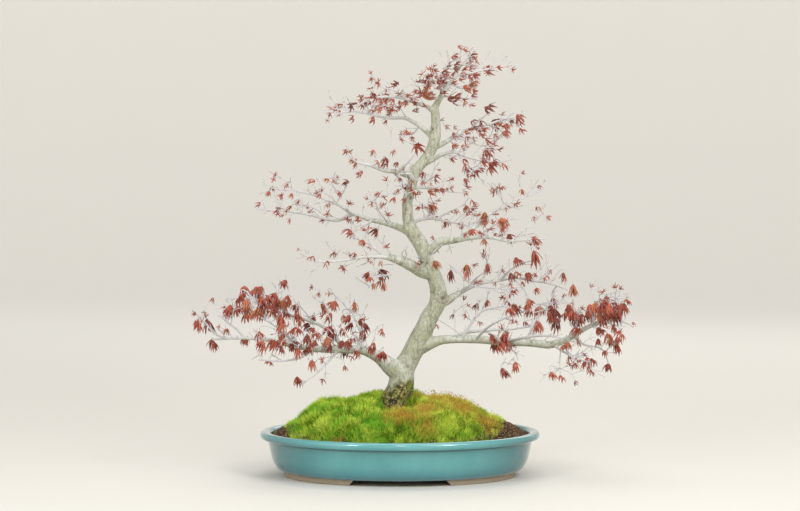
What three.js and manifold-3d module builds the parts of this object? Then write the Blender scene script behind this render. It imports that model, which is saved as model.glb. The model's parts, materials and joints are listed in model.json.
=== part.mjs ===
// A maple grown as a bonsai in an oval glazed pot: the pot on its four feet, a screen over each
// drain hole, the soil mounded up to the trunk, two pads of moss, the trunk with the roots of its
// limbs, and each leafy limb from there out to its tips.
// Millimetres, +Z up. The tree faces -Y. The origin lies on the surface that the pot stands on,
// under the middle of the whole tree.
import * as THREE from "three";
import { mergeVertices } from "three/addons/utils/BufferGeometryUtils.js";
import Module from "manifold-3d";

const wasm = await Module();
wasm.setup();

// ---- Driving dimensions --------------------------------------------------------------------

const GAP = 0.3; // left between pieces that touch
const POT_SHIFT_X = -17.6; // the pot stands this far to the left of the tree's middle

// Pot: an oval, measured over its rolled lip. A profile point is [inset from the lip, height].
const POT_LENGTH = 450;
const POT_DEPTH = 340;
const OVAL_SECTORS = 34;
const FOOT_HEIGHT = 8.5;
const FLOOR_TOP = 17;
const OUTER_PROFILE = [
  [37, FOOT_HEIGHT], [31, 10], [24, 17], [17.5, 32], [13, 52], [11.5, 59.2],
  [4, 60], [0.4, 63.4], [0.6, 68.6], [5, 72.4], [12, 72], [17.5, 69.5],
];
const INNER_PROFILE = [[42, FLOOR_TOP], [30, 24], [22.5, 46], [18, 67], [16.5, 76]];
const FOOT_INSET = 38;
const FOOT_WIDTH = 17;
const FOOT_INNER_END_X = 80; // each foot starts here at its underside
const FOOT_END_SLOPE = 8;
const FOOT_SPLIT_Y = 25; // half the gap between a front foot and the back foot behind it

// Drain holes, and the plastic screens that lie over them on the floor.
const DRAIN_X = 95;
const DRAIN_RADIUS = 9;
const DRAIN_SIDES = 16;
const SCREEN_SIDE = 44;
const SCREEN_THICKNESS = 2;
const SCREEN_CELLS = 3;
const SCREEN_BAR = 3.5;

// Soil: fills the pot to SOIL_EDGE and is mounded up by SOIL_MOUND round the trunk.
const SOIL_EDGE = 65;
const SOIL_MOUND = 37;
const SOIL_INSET = 19.1;
const SOIL_BLOCK = [[42.6, FLOOR_TOP + GAP], [30.6, 24.2], [23.1, 46], [SOIL_INSET, SOIL_EDGE - 0.5]];
const SOIL_RINGS = 4;
const SOIL_ROOM = 1.2; // round the trunk's foot
const HOLE_TOP = 175; // the hole for the trunk's foot is cut up to this height
const HOLE_SIDES = 12;

// Moss: an oval mat. Its crest runs from left to right, at these [x, height] points.
const MOSS_X = -8;
const MOSS_HALF_LENGTH = 171;
const MOSS_HALF_DEPTH = 143;
const MOSS_CREST_Y = 14;
const MOSS_CREST = [
  [-180, 80], [-160, 95], [-142, 110], [-128, 120], [-75, 122], [-48, 131], [-20, 134],
  [22, 132], [40, 125], [80, 124], [104, 117], [128, 104], [148, 90], [164, 78],
];
const MOSS_LEAST_DEPTH = 4;
const MOSS_UNDERSIDE = 45; // before the soil is cut out of the mat
const MOSS_SECTORS = 24;
const MOSS_RINGS = 5;
const MOSS_SEAM_X = -6;
const MOSS_ROOM = 1.9;
// The moss lies lower in front of the trunk, and is gently lumpy all over.
const DIP = { x: -6, y: -40, depth: 26, reach: 30 };
const LUMPS = { height: 2.4, lengthX: 13, lengthY: 11, phase: 1 };

// Trunk: its middle line and radius, as [x, y, z, radius], from its foot in the soil upwards.
const TRUNK = [
  [-9, 0, 31, 20], [-9, 0, 84, 22.5], [-9, 0, 103, 23.5], [-6, 1, 123, 21.5], [0, 3, 141, 20.6],
  [3, 5, 158, 19.2], [6, 7, 172, 18], [15, 8, 187, 16.6], [24, 9, 205, 16.5], [32, 10, 220, 16.5],
  [40, 9, 237, 15.5], [47, 8, 253, 14.6], [57, 6, 270, 13.6], [62, 4, 285, 14], [61, 2, 300, 13],
  [56, 0, 317, 12.2], [49, -2, 333, 12], [42, -3, 347, 11.2], [37, -4, 364, 12],
  [28, -5, 380, 11.6], [18, -6, 396, 11], [13.5, -7, 411, 9.6], [12, -8, 428, 8.8],
  [12, -9, 443, 8], [17, -10, 459, 7.6], [21, -10, 476, 8], [24, -9, 489, 8.8],
  [34, -8, 500, 8.5], [42, -6, 510, 8.6], [50, -5, 524, 9], [55, -4, 540, 9.2],
  [57, -2, 556, 8.4], [57, -1, 572, 7.4], [56, 0, 584, 7], [54, 0, 592, 6.2],
];
const TRUNK_SIDES = 10;
const FOOT_LOBES = 5;
const FOOT_LOBE_DEPTH = 0.09;
const FOOT_LOBE_FADE = 22;
const FOOT_LOBE_TOP = 95; // the lobes fade out from here upwards
const LIMB_STUB = 3; // how far the root of each limb, at least, stands out of the trunk
const CUT_SHARES = [0.4, 0.5, 0.6]; // where a limb may be cut along one straight piece of its route

// Sprays. The front view at the reference distance and eye height settles where each tuft of
// leaves is seen, and its depth is drawn at random, along that line of sight.
const EYE_DISTANCE = 3870;
const EYE_HEIGHT = 552;
const DEPTH_LIMIT = 150; // no tuft's middle is further than this in front of or behind the pot's
const DEPTH_DRAWS = 24;
const FIRST_SPREAD = 0.7; // share of a limb's spread that the first draw may use
const MORE_SPREAD = 0.04; // and what each further draw adds
const DEPTH_SHARES = [0.25, 0.5, 0.75, 1]; // where along a straight piece the wood's depth is read
const LIMB_SIDES = 6;
const TWIG_SIDES = 3;
const TIP_RADIUS = 0.75;
const GROWN_RADIUS = 1.1; // how thick the twigs of the limbs before count in tests for clear room
const LEAF_LEAST = 11; // length of a leaf's middle lobe
const LEAF_MOST = 22;
const LEAF_THICKNESS = 1.3;
const LEAF_SHARE = 0.8; // a leaf's length in its tuft's larger side
const REACH_SHARE = 0.66; // a tuft's radius in its leaf's length
const HUB_SHARE = 0.4; // how far the hub stands back from the tuft's middle, in the leaf's length
const LEAF_LEAN = 0.22; // how far a leaf's axis strays at random
const HEART_X = 25; // the leaves point away from a line here, just right of the pot's middle
// A leaf's outline as [azimuth, length]: five lobes on the larger leaves, three on the small.
const SMALL_LEAF = 13;
const LOBES = [[-128, 0.62], [-66, 0.9], [0, 1], [66, 0.9], [128, 0.62]];
const NOTCHES = [[-97, 0.22], [-33, 0.26], [33, 0.26], [97, 0.22], [180, 0.13]];
const SMALL_LOBES = [[-90, 0.8], [0, 1], [90, 0.8]];
const SMALL_NOTCHES = [[-45, 0.26], [45, 0.26], [180, 0.14]];
const SMALLEST_TUFT = 15; // of those under this size, only every second is made
const SHORT_TWIG = 17;
const LONG_TWIG = 44;
const TWIG_PLACES = 12; // along the wood, from one place where a twig may start to the next
const TWIG_PROBES = 4; // along a twig, from one test for clear room to the next
const TWIG_TRIES = 14;
const TWIG_BOW = 0.08; // how high a long twig is bowed, in its length
const HANG = { share: 0.3, most: 9 }; // the last stretch of a twig, along its leaf's axis
// What makes a place a poor start for a twig: one that turns back, or is too close.
const TURN_COST = 26;
const TURN_LEAST = 0.35;
const CLOSE_COST = 30;
const CLOSE = 7;
const NOTCH_SPREAD = 74; // degrees from the leaf's axis
const CLEAR = 1.6; // between what belongs to different limbs
const OWN_CLEAR = 0.8; // share of a tuft's reach that stays clear on its own limb

// Each limb: its route and its shoots' as [x, y, z, radius], then the tufts on it as
// [x, z, width, height] in the front view. droop 1 hangs straight down, 0 points outwards.
// spread is how far its tufts reach to either side of it, in depth.
const LIMBS = {
  limb_low_left: {
    droop: 0.92,
    opening: 38,
    spread: 56,
    route: [
      [3, 3, 164, 17], [-13, -2, 174, 15], [-32, -8, 190, 10], [-54, -16, 202, 8],
      [-87, -26, 205, 6.4], [-119, -34, 206, 5.4], [-151, -38, 209, 4.6], [-182, -36, 215, 4],
      [-210, -30, 221, 3.4], [-239, -24, 223, 2.8], [-271, -16, 222, 2.2], [-300, -8, 219, 1.4],
    ],
    shoots: [
      [[-87, -26, 205, 4], [-104, 4, 221, 3.6], [-121, 30, 235, 3], [-154, 52, 247, 2.4],
        [-187, 66, 254, 1.9], [-215, 74, 261, 1.3]],
      [[-247, -23, 222, 2.2], [-260, -8, 235, 1.9], [-282, 8, 250, 1.5], [-296, 18, 270, 1.2],
        [-307, 24, 286, 0.9]],
      [[-274, -15, 221, 1.9], [-294, -24, 229, 1.6], [-309, -34, 248, 1.3], [-328, -42, 268, 0.9]],
      [[-139, -37, 207, 2.2], [-157, -62, 196, 1.9], [-188, -86, 192, 1.5], [-221, -104, 196, 1]],
      [[-98, -29, 205, 2], [-114, -52, 188, 1.6], [-132, -72, 171, 1.2], [-152, -84, 157, 0.9]],
      [[-61, -18, 203, 3], [-61, 34, 219, 2.6], [-72, 84, 241, 2], [-83, 124, 261, 1.2]],
      [[-165, -38, 212, 2.4], [-179, -66, 232, 2], [-206, -96, 255, 1.5], [-233, -118, 272, 1]],
    ],
    tufts: [
      [-328, 239, 22, 24], [-310, 239, 27, 29], [-301, 209, 22, 24], [-269, 259, 24, 27],
      [-248, 275, 16, 18], [-243, 262, 24, 16], [-232, 294, 24, 24], [-214, 279, 27, 26],
      [-181, 278, 24, 24], [-221, 257, 19, 22], [-192, 243, 26, 27], [-166, 259, 18, 18],
      [-184, 307, 22, 19], [-251, 215, 16, 14], [-224, 206, 21, 26], [-205, 206, 26, 29],
      [-171, 209, 30, 16], [-168, 230, 24, 22], [-149, 238, 22, 19], [-136, 223, 18, 21],
      [-115, 228, 21, 32], [-106, 273, 26, 21], [-131, 289, 10, 14], [-126, 265, 14, 29],
      [-75, 271, 19, 21], [-61, 244, 19, 24], [-90, 252, 16, 16], [-142, 175, 19, 24],
      [-211, 180, 18, 11], [-165, 151, 21, 18], [-94, 207, 13, 24], [-80, 215, 16, 13],
      [-62, 219, 14, 16], [-86, 193, 19, 16], [-69, 193, 19, 18], [-48, 198, 14, 18],
      [-30, 190, 24, 24], [-30, 230, 14, 16], [-88, 171, 13, 14], [-301, 281, 11, 13],
      [-114, 291, 13, 8], [-278, 230, 16, 16],
    ],
  },
  limb_low_right: {
    droop: 0.92,
    opening: 38,
    spread: 56,
    route: [
      [29, 9, 203, 12], [48, 9, 212, 10.5], [66, 12, 217, 8], [88, 17, 218, 6.8],
      [129, 22, 217, 6.5], [169, 22, 213, 6.3], [209, 18, 212, 6.1], [244, 10, 210, 5.9],
      [266, 4, 218, 5], [288, -4, 232, 4.2], [319, -10, 247, 3.2], [348, -14, 251, 2.4],
      [373, -16, 242, 1.4],
    ],
    shoots: [
      [[84, 16, 218, 3.4], [107, 44, 226, 3], [147, 76, 228, 2.4], [189, 100, 228, 1.8],
        [231, 116, 233, 1.2]],
      [[174, 22, 213, 2.6], [199, -14, 223, 2.2], [229, -48, 229, 1.7], [254, -76, 228, 1.1]],
      [[166, 22, 212, 2], [179, 0, 203, 1.7], [188, -22, 192, 1.3], [182, -36, 179, 0.9]],
      [[249, 8, 208, 2.3], [264, -22, 200, 1.9], [280, -48, 191, 1.5], [296, -66, 190, 1]],
      [[277, 0, 225, 2.2], [298, 26, 208, 1.8], [329, 48, 198, 1.4], [340, 60, 176, 0.9]],
      [[206, 18, 214, 2], [216, 52, 243, 1.6], [224, 78, 271, 1.2], [242, 90, 266, 0.9]],
      [[100, 18, 217, 2.6], [114, 64, 236, 2.2], [135, 104, 256, 1.7], [172, 134, 263, 1]],
      [[122, 21, 217, 2.2], [143, -30, 243, 1.8], [176, -74, 263, 1.3], [202, -104, 274, 0.9]],
      [[303, -7, 240, 2], [320, -36, 266, 1.6], [350, -60, 274, 1]],
    ],
    tufts: [
      [123, 270, 13, 19], [139, 275, 11, 19], [171, 276, 18, 13], [184, 265, 19, 24],
      [208, 270, 10, 29], [181, 247, 14, 11], [200, 243, 16, 13], [219, 238, 24, 26],
      [246, 263, 19, 24], [251, 241, 24, 29], [272, 259, 35, 24], [307, 263, 27, 30],
      [333, 267, 24, 40], [352, 263, 29, 32], [363, 278, 19, 14], [374, 243, 11, 10],
      [283, 243, 16, 14], [322, 230, 19, 16], [320, 214, 19, 16], [344, 235, 11, 24],
      [341, 212, 21, 19], [330, 195, 13, 16], [334, 172, 21, 19], [302, 182, 26, 19],
      [283, 183, 13, 13], [274, 187, 13, 16], [288, 211, 14, 16], [270, 207, 22, 18],
      [157, 209, 29, 29], [176, 199, 11, 13], [165, 163, 18, 24], [186, 174, 19, 21],
      [245, 158, 14, 21], [259, 155, 13, 16], [283, 147, 11, 13], [58, 238, 13, 14],
      [85, 254, 10, 13], [104, 255, 10, 13], [128, 243, 11, 13],
    ],
  },
  limb_lower_right: {
    droop: 0.85,
    opening: 42,
    spread: 40,
    route: [
      [61, 3, 276, 9], [75, 8, 281, 7.5], [90, 20, 289, 5], [110, 40, 299, 4], [133, 62, 306, 3.2],
      [163, 84, 309, 2.6], [189, 100, 312, 2.2], [222, 114, 306, 1.9], [251, 124, 300, 1.5],
      [278, 132, 290, 1.1],
    ],
    shoots: [
      [[113, 43, 301, 1.8], [122, 20, 315, 1.4], [137, -4, 329, 0.9]],
      [[163, 84, 309, 1.9], [182, 70, 328, 1.5], [201, 56, 339, 1.2], [220, 44, 344, 0.9]],
      [[100, 30, 295, 1.9], [112, -8, 305, 1.6], [142, -48, 305, 1.3], [179, -82, 304, 0.9]],
    ],
    tufts: [
      [83, 318, 14, 29], [107, 326, 18, 32], [141, 331, 14, 24], [189, 343, 19, 21],
      [218, 348, 22, 35], [187, 323, 18, 13], [198, 307, 14, 14], [182, 297, 22, 16],
      [221, 295, 14, 18], [235, 316, 14, 14], [262, 318, 13, 21], [278, 297, 22, 26],
      [242, 326, 13, 14], [216, 321, 13, 13],
    ],
  },
  limb_middle_left: {
    droop: 0.8,
    opening: 42,
    spread: 34,
    route: [
      [52, -1, 324, 11], [38, -10, 328, 10.5], [22, -24, 337, 9.6], [5, -40, 346, 8.2],
      [-13, -56, 353, 5.6], [-28, -68, 355, 3.4], [-55, -86, 356, 2.5], [-86, -104, 352, 2],
      [-116, -118, 350, 1.6], [-142, -128, 353, 1.1],
    ],
    shoots: [
      [[-25, -66, 355, 2], [-47, -50, 373, 1.6], [-79, -34, 386, 1]],
      [[-11, -55, 353, 1.7], [-22, -72, 371, 1.4], [-38, -90, 387, 0.9]],
      [[-6, -50, 348, 1.7], [-16, -60, 329, 1.4], [-38, -76, 322, 1.2], [-50, -88, 307, 0.9]],
    ],
    tufts: [
      [-142, 348, 14, 13], [-118, 340, 14, 14], [-107, 355, 14, 13], [-91, 332, 14, 14],
      [-75, 353, 14, 14], [-61, 374, 19, 13], [-32, 340, 13, 13], [-54, 319, 13, 21],
      [-30, 324, 32, 18], [-43, 303, 13, 16], [18, 316, 21, 16], [29, 340, 11, 14],
    ],
  },
  limb_middle_right: {
    droop: 0.7,
    opening: 46,
    spread: 34,
    route: [
      [39, -3, 358, 9], [51, -6, 364, 8], [65, -16, 377, 7], [84, -28, 379, 5.2],
      [111, -48, 384, 3.6], [141, -68, 386, 3], [172, -84, 381, 2.4], [203, -96, 384, 1.8],
      [227, -104, 386, 1.2],
    ],
    shoots: [
      [[92, -34, 380, 3.6], [112, -14, 395, 3.3], [131, 6, 407, 3], [150, 26, 424, 2.6],
        [173, 42, 431, 2.2], [198, 56, 444, 1.6], [233, 68, 457, 1]],
      [[120, -54, 385, 1.8], [141, -84, 401, 1.4], [160, -108, 415, 0.9]],
      [[175, -86, 382, 1.5], [197, -92, 401, 1.2], [218, -96, 420, 0.9]],
    ],
    tufts: [
      [117, 391, 21, 14], [138, 411, 19, 29], [165, 401, 18, 32], [136, 374, 13, 16],
      [154, 385, 13, 14], [178, 380, 19, 22], [173, 430, 14, 11], [194, 454, 16, 16],
      [224, 462, 13, 13], [165, 459, 13, 14], [221, 427, 13, 14], [216, 411, 13, 14],
      [238, 412, 13, 13], [149, 457, 13, 14], [59, 337, 18, 22], [59, 359, 8, 14],
    ],
  },
  limb_upper_left: {
    droop: 0.6,
    opening: 50,
    spread: 38,
    route: [
      [18, -6, 390, 7.5], [3, 6, 397, 6], [-23, 24, 405, 4.6], [-52, 40, 411, 3.7],
      [-76, 54, 418, 3.2], [-101, 66, 408, 2.7], [-134, 80, 413, 2.2], [-164, 92, 419, 1.8],
      [-204, 104, 422, 1.4], [-237, 112, 425, 1],
    ],
    shoots: [
      [[-78, 55, 417, 2.5], [-97, 40, 432, 2.1], [-119, 26, 442, 1.7], [-145, 14, 452, 1.4],
        [-176, 4, 458, 1.1], [-208, -4, 460, 0.9]],
      [[-45, 37, 409, 2], [-64, 10, 397, 1.6], [-80, -14, 390, 1]],
      [[-16, 20, 403, 1.8], [-32, -4, 423, 1.4], [-41, -24, 446, 0.9]],
      [[-114, 72, 410, 1.6], [-148, 96, 430, 1.3], [-178, 118, 433, 0.9]],
    ],
    tufts: [
      [-227, 435, 13, 13], [-206, 460, 13, 13], [-181, 465, 13, 13], [-192, 449, 13, 13],
      [-198, 423, 14, 14], [-178, 430, 13, 13], [-165, 439, 13, 13], [-150, 431, 13, 13],
      [-131, 449, 16, 13], [-141, 470, 16, 16], [-118, 473, 13, 13], [-99, 451, 18, 13],
      [-88, 467, 16, 18], [-125, 407, 10, 14], [-115, 433, 13, 13], [-82, 406, 10, 16],
      [-70, 412, 13, 16], [-83, 388, 24, 19], [-42, 391, 26, 18], [-179, 409, 11, 13],
      [-37, 451, 13, 14], [-48, 436, 13, 14], [-11, 441, 13, 16],
    ],
  },
  limb_back: {
    droop: 0.7,
    opening: 48,
    spread: 34,
    route: [
      [14, -6, 402, 4.6], [25, 16, 408, 3.2], [49, 46, 412, 2.5], [82, 76, 405, 1.9],
      [115, 102, 397, 1.1],
    ],
    shoots: [
      [[58, 54, 410, 1.7], [78, 80, 421, 1.3], [108, 104, 433, 0.9]],
      [[39, 36, 410, 1.6], [49, 64, 421, 1.3], [39, 90, 430, 0.8]],
    ],
    tufts: [
      [72, 404, 16, 22], [96, 401, 11, 13], [106, 427, 13, 21], [91, 423, 13, 14],
      [117, 439, 14, 14], [51, 427, 18, 24], [29, 428, 13, 14], [59, 412, 11, 13],
    ],
  },
  limb_upper_back: {
    droop: 0.6,
    opening: 52,
    spread: 30,
    route: [
      [18, -10, 459, 4.4], [27, 14, 462, 2.8], [47, 36, 461, 2.1], [71, 58, 456, 1.5],
      [108, 80, 452, 0.9],
    ],
    shoots: [[[35, 24, 462, 1.5], [45, 48, 474, 1.2], [59, 66, 480, 0.8]]],
    tufts: [
      [50, 452, 18, 19], [38, 481, 19, 19], [61, 479, 13, 16], [70, 459, 14, 13],
      [106, 454, 14, 13], [6, 462, 10, 22],
    ],
  },
  limb_high_left: {
    droop: 0.55,
    opening: 52,
    spread: 30,
    route: [
      [22, -10, 482, 7], [6, -16, 485, 5.4], [-8, -26, 489, 4.2], [-25, -40, 491, 3.3],
      [-47, -56, 499, 2.4], [-72, -72, 507, 1.7], [-85, -82, 522, 1],
    ],
    shoots: [
      [[-3, -22, 489, 1.8], [13, -48, 504, 1.4], [28, -66, 523, 0.9]],
      [[-25, -40, 491, 1.7], [-35, -20, 507, 1.3], [-46, -4, 519, 0.9]],
    ],
    tufts: [
      [-26, 502, 18, 24], [-46, 519, 16, 13], [-8, 500, 13, 14], [-11, 518, 13, 13],
      [-75, 503, 21, 18], [-66, 483, 10, 21], [-88, 519, 13, 13], [30, 523, 22, 29],
      [21, 540, 13, 14],
    ],
  },
  limb_high_right: {
    droop: 0.6,
    opening: 52,
    spread: 30,
    route: [
      [32, -8, 498, 5.6], [51, -12, 507, 4.3], [67, -22, 516, 3.5], [84, -34, 520, 2.7],
      [104, -50, 513, 2.3], [129, -64, 507, 1.9], [151, -76, 504, 1.5], [175, -86, 509, 0.8],
    ],
    shoots: [
      [[92, -40, 518, 1.7], [104, -54, 498, 1.4], [116, -66, 485, 0.9]],
      [[64, -20, 514, 1.5], [80, 8, 511, 1.2], [107, 34, 522, 0.8]],
    ],
    tufts: [
      [88, 527, 14, 14], [102, 527, 13, 13], [85, 508, 10, 16], [144, 519, 22, 22],
      [150, 495, 26, 26], [134, 503, 19, 19], [114, 487, 26, 24], [106, 473, 16, 14],
      [125, 484, 14, 16],
    ],
  },
  limb_top_right: {
    droop: 0.5,
    opening: 54,
    spread: 30,
    route: [
      [51, -5, 526, 5.6], [67, 6, 532, 4.2], [85, 20, 543, 3.5], [107, 34, 555, 2.8],
      [133, 48, 561, 2.2], [166, 60, 571, 1.6], [197, 70, 577, 0.9],
    ],
    shoots: [
      [[85, 20, 543, 2], [104, 30, 539, 1.6], [136, 46, 529, 1.1], [172, 62, 548, 0.8]],
      [[113, 38, 556, 1.5], [132, 18, 574, 1.2], [144, 4, 583, 0.8]],
    ],
    tufts: [
      [88, 547, 16, 13], [107, 550, 13, 13], [125, 553, 13, 13], [120, 540, 11, 13],
      [118, 566, 13, 13], [144, 587, 21, 22], [155, 564, 24, 24], [174, 550, 13, 18],
      [194, 571, 19, 27], [77, 559, 10, 14],
    ],
  },
  limb_top_left: {
    droop: 0.5,
    opening: 54,
    spread: 26,
    route: [
      [55, -4, 540, 6], [45, 6, 550, 4.6], [29, 18, 563, 3.6], [8, 32, 574, 3],
      [-16, 46, 574, 2.4], [-41, 58, 578, 2], [-73, 70, 585, 1.6], [-114, 80, 579, 0.9],
    ],
    shoots: [[[32, 16, 561, 1.6], [19, 36, 548, 1.3], [6, 56, 548, 0.9]]],
    tufts: [
      [-77, 574, 14, 14], [-45, 571, 18, 19], [-26, 567, 13, 14], [-8, 583, 13, 13],
      [-38, 590, 14, 13], [-99, 583, 14, 13], [8, 550, 18, 13],
    ],
  },
  limb_crown_left: {
    droop: 0.45,
    opening: 56,
    spread: 26,
    route: [
      [56, -1, 582, 5], [45, -6, 591, 3.8], [25, -18, 598, 3.1], [6, -30, 605, 2.6],
      [-16, -42, 607, 2.1], [-44, -52, 605, 1.7], [-68, -60, 594, 1.3], [-101, -68, 589, 0.8],
    ],
    shoots: [
      [[10, -28, 604, 1.6], [-6, -46, 615, 1.3], [-35, -62, 624, 0.9]],
      [[30, -15, 596, 1.5], [19, 6, 606, 1.2], [6, 24, 616, 0.8]],
    ],
    tufts: [
      [-24, 607, 22, 18], [-43, 609, 19, 16], [-80, 590, 19, 11], [-96, 593, 13, 13],
      [-64, 606, 14, 14], [-37, 627, 13, 16], [-6, 627, 18, 14], [13, 609, 13, 13],
    ],
  },
  limb_crown: {
    droop: 0.25,
    opening: 58,
    spread: 26,
    route: [
      [54, 0, 588, 6.2], [64, 2, 606, 4.6], [74, 6, 623, 3.4], [88, 8, 641, 2.6],
      [95, 8, 664, 1.8], [98, 6, 686, 0.9],
    ],
    shoots: [
      [[62, 2, 603, 3], [48, -10, 610, 2.2], [40, -20, 618, 1.5], [43, -30, 631, 0.9]],
      [[66, 2, 609, 2.6], [65, -12, 622, 2], [59, -24, 644, 1.4], [49, -32, 659, 0.8]],
      [[88, 8, 641, 1.9], [113, 24, 646, 1.5], [137, 38, 652, 1.2], [162, 50, 657, 0.8]],
      [[90, 8, 646, 1.7], [105, -12, 666, 1.3], [119, -28, 682, 0.8]],
      [[66, 2, 609, 2], [89, -18, 607, 1.6], [117, -36, 604, 0.9]],
      [[79, 7, 629, 1.7], [100, 34, 622, 1.3], [120, 56, 629, 0.8]],
    ],
    tufts: [
      [98, 688, 10, 14], [88, 671, 22, 14], [120, 671, 14, 29], [122, 643, 11, 13],
      [160, 655, 14, 13], [141, 651, 19, 24], [74, 647, 19, 18], [42, 633, 24, 16],
      [43, 612, 29, 19], [118, 625, 19, 19], [90, 603, 21, 32], [69, 628, 11, 11],
      [106, 684, 13, 13], [56, 657, 13, 13], [104, 606, 14, 14],
    ],
  },
};

// ---- Finishes ------------------------------------------------------------------------------

const FINISHES = {
  glaze: { color: 0x5fa5a0, roughness: 0.2, metalness: 0 },
  screen: { color: 0x2b2d2c, roughness: 0.6, metalness: 0 },
  soil: { color: 0x4a3422, roughness: 1, metalness: 0 },
  moss: { color: 0x86a832, roughness: 1, metalness: 0 },
  bark: { color: 0xa8ac98, roughness: 0.85, metalness: 0 },
  leaves: { color: 0x963a30, roughness: 0.6, metalness: 0 },
};

// ---- Helpers -------------------------------------------------------------------------------

/** Random numbers from 0 to 1 that come out the same every time. */
function seededRandom(seed) {
  let state = seed;
  return () => {
    state = (1664525 * state + 1013904223) % 4294967296;
    return state / 4294967296;
  };
}

function radians(degrees) {
  return (degrees * Math.PI) / 180;
}

function vector([x, y, z]) {
  return new THREE.Vector3(x, y, z);
}

/** The solid that closed triangles bound. points are vectors, faces are triples of indices. */
function solidOf(points, faces) {
  const vertProperties = new Float32Array(points.flatMap((point) => point.toArray()));
  const triVerts = new Uint32Array(faces.flat());
  return new wasm.Manifold(new wasm.Mesh({ numProp: 3, vertProperties, triVerts }));
}

/** The solid of a closed three.js geometry. */
function solidFrom(geometry) {
  geometry.deleteAttribute("normal");
  geometry.deleteAttribute("uv");
  const merged = mergeVertices(geometry, 1e-4);
  const vertProperties = new Float32Array(merged.getAttribute("position").array);
  const triVerts = new Uint32Array(merged.getIndex().array);
  return new wasm.Manifold(new wasm.Mesh({ numProp: 3, vertProperties, triVerts }));
}

/** The biggest body of a solid: loose scraps and sealed hollows are left out. */
function biggestBody(solid) {
  const bodies = solid.decompose();
  return bodies.reduce((best, body) => (body.volume() > best.volume() ? body : best));
}

function meshOf(name, solid, finish) {
  const { vertProperties, triVerts } = biggestBody(solid).getMesh();
  const geometry = new THREE.BufferGeometry();
  geometry.setAttribute("position", new THREE.BufferAttribute(vertProperties, 3));
  geometry.setIndex(new THREE.BufferAttribute(triVerts, 1));
  geometry.computeVertexNormals();
  const mesh = new THREE.Mesh(geometry, new THREE.MeshStandardMaterial(FINISHES[finish]));
  mesh.name = name;
  return mesh;
}

/** The side faces between rings of equal counts, one after another. */
function sideFaces(ringCount, sides) {
  const faces = [];
  for (let ring = 0; ring < ringCount - 1; ring++) {
    for (let side = 0; side < sides; side++) {
      const low = ring * sides;
      const next = (side + 1) % sides;
      faces.push([low + side, low + next, low + sides + next]);
      faces.push([low + side, low + sides + next, low + sides + side]);
    }
  }
  return faces;
}

/** A solid through rings of points, closed by a flat fan at each end. */
function loft(rings) {
  const sides = rings[0].length;
  const faces = sideFaces(rings.length, sides);
  const top = (rings.length - 1) * sides;
  for (let side = 1; side < sides - 1; side++) {
    faces.push([0, side + 1, side]);
    faces.push([top, top + side, top + side + 1]);
  }
  return solidOf(rings.flat(), faces);
}

/** One ring round each point of a route [x, y, z, radius], square to the route. */
function ringsAlong(route, sides, relief = () => 1) {
  const points = route.map(vector);
  const steps = points.slice(1).map((point, i) => point.clone().sub(points[i]).normalize());
  const ways = points.map((_, i) => {
    const before = steps[Math.max(i - 1, 0)];
    const after = steps[Math.min(i, steps.length - 1)];
    return before.clone().add(after).normalize();
  });
  const side = new THREE.Vector3(1, 0, 0);
  if (Math.abs(ways[0].x) > 0.8) {
    side.set(0, 1, 0);
  }
  side.addScaledVector(ways[0], -side.dot(ways[0])).normalize();
  const swing = new THREE.Quaternion();
  return route.map(([, , , radius], i) => {
    swing.setFromUnitVectors(ways[Math.max(i - 1, 0)], ways[i]);
    side.applyQuaternion(swing);
    const across = ways[i].clone().cross(side);
    return Array.from({ length: sides }, (_, s) => {
      const angle = (2 * Math.PI * s) / sides;
      const reach = radius * relief(angle, points[i].z);
      return points[i]
        .clone()
        .addScaledVector(side, reach * Math.cos(angle))
        .addScaledVector(across, reach * Math.sin(angle));
    });
  });
}

function mix(a, b, share) {
  return a.map((value, i) => value + (b[i] - value) * share);
}

/** The straight pieces of a route, as { from, to, radius }. */
function piecesOf(route) {
  return route.slice(1).map((point, i) => ({
    from: vector(route[i]),
    to: vector(point),
    radius: Math.max(route[i][3], point[3]),
  }));
}

/** How far a point lies from the surface of straight round pieces of wood. */
function distanceToWood(point, pieces) {
  const nearest = new THREE.Vector3();
  const line = new THREE.Line3();
  let least = Infinity;
  for (const { from, to, radius } of pieces) {
    line.set(from, to).closestPointToPoint(point, true, nearest);
    least = Math.min(least, nearest.distanceTo(point) - radius);
  }
  return least;
}

// ---- Pot, screens, soil and moss -----------------------------------------------------------

/** A solid of stacked ovals, each given as [inset from the pot's lip, height]. */
function ovalStack(profile) {
  return loft(
    profile.map(([inset, height]) =>
      Array.from({ length: OVAL_SECTORS }, (_, s) => {
        const angle = (2 * Math.PI * s) / OVAL_SECTORS;
        const x = (POT_LENGTH / 2 - inset) * Math.cos(angle);
        const y = (POT_DEPTH / 2 - inset) * Math.sin(angle);
        return new THREE.Vector3(x, y, height);
      }),
    ),
  );
}

function box(sizeX, sizeY, sizeZ, x, y, z) {
  return solidFrom(new THREE.BoxGeometry(sizeX, sizeY, sizeZ).translate(x, y, z));
}

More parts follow.
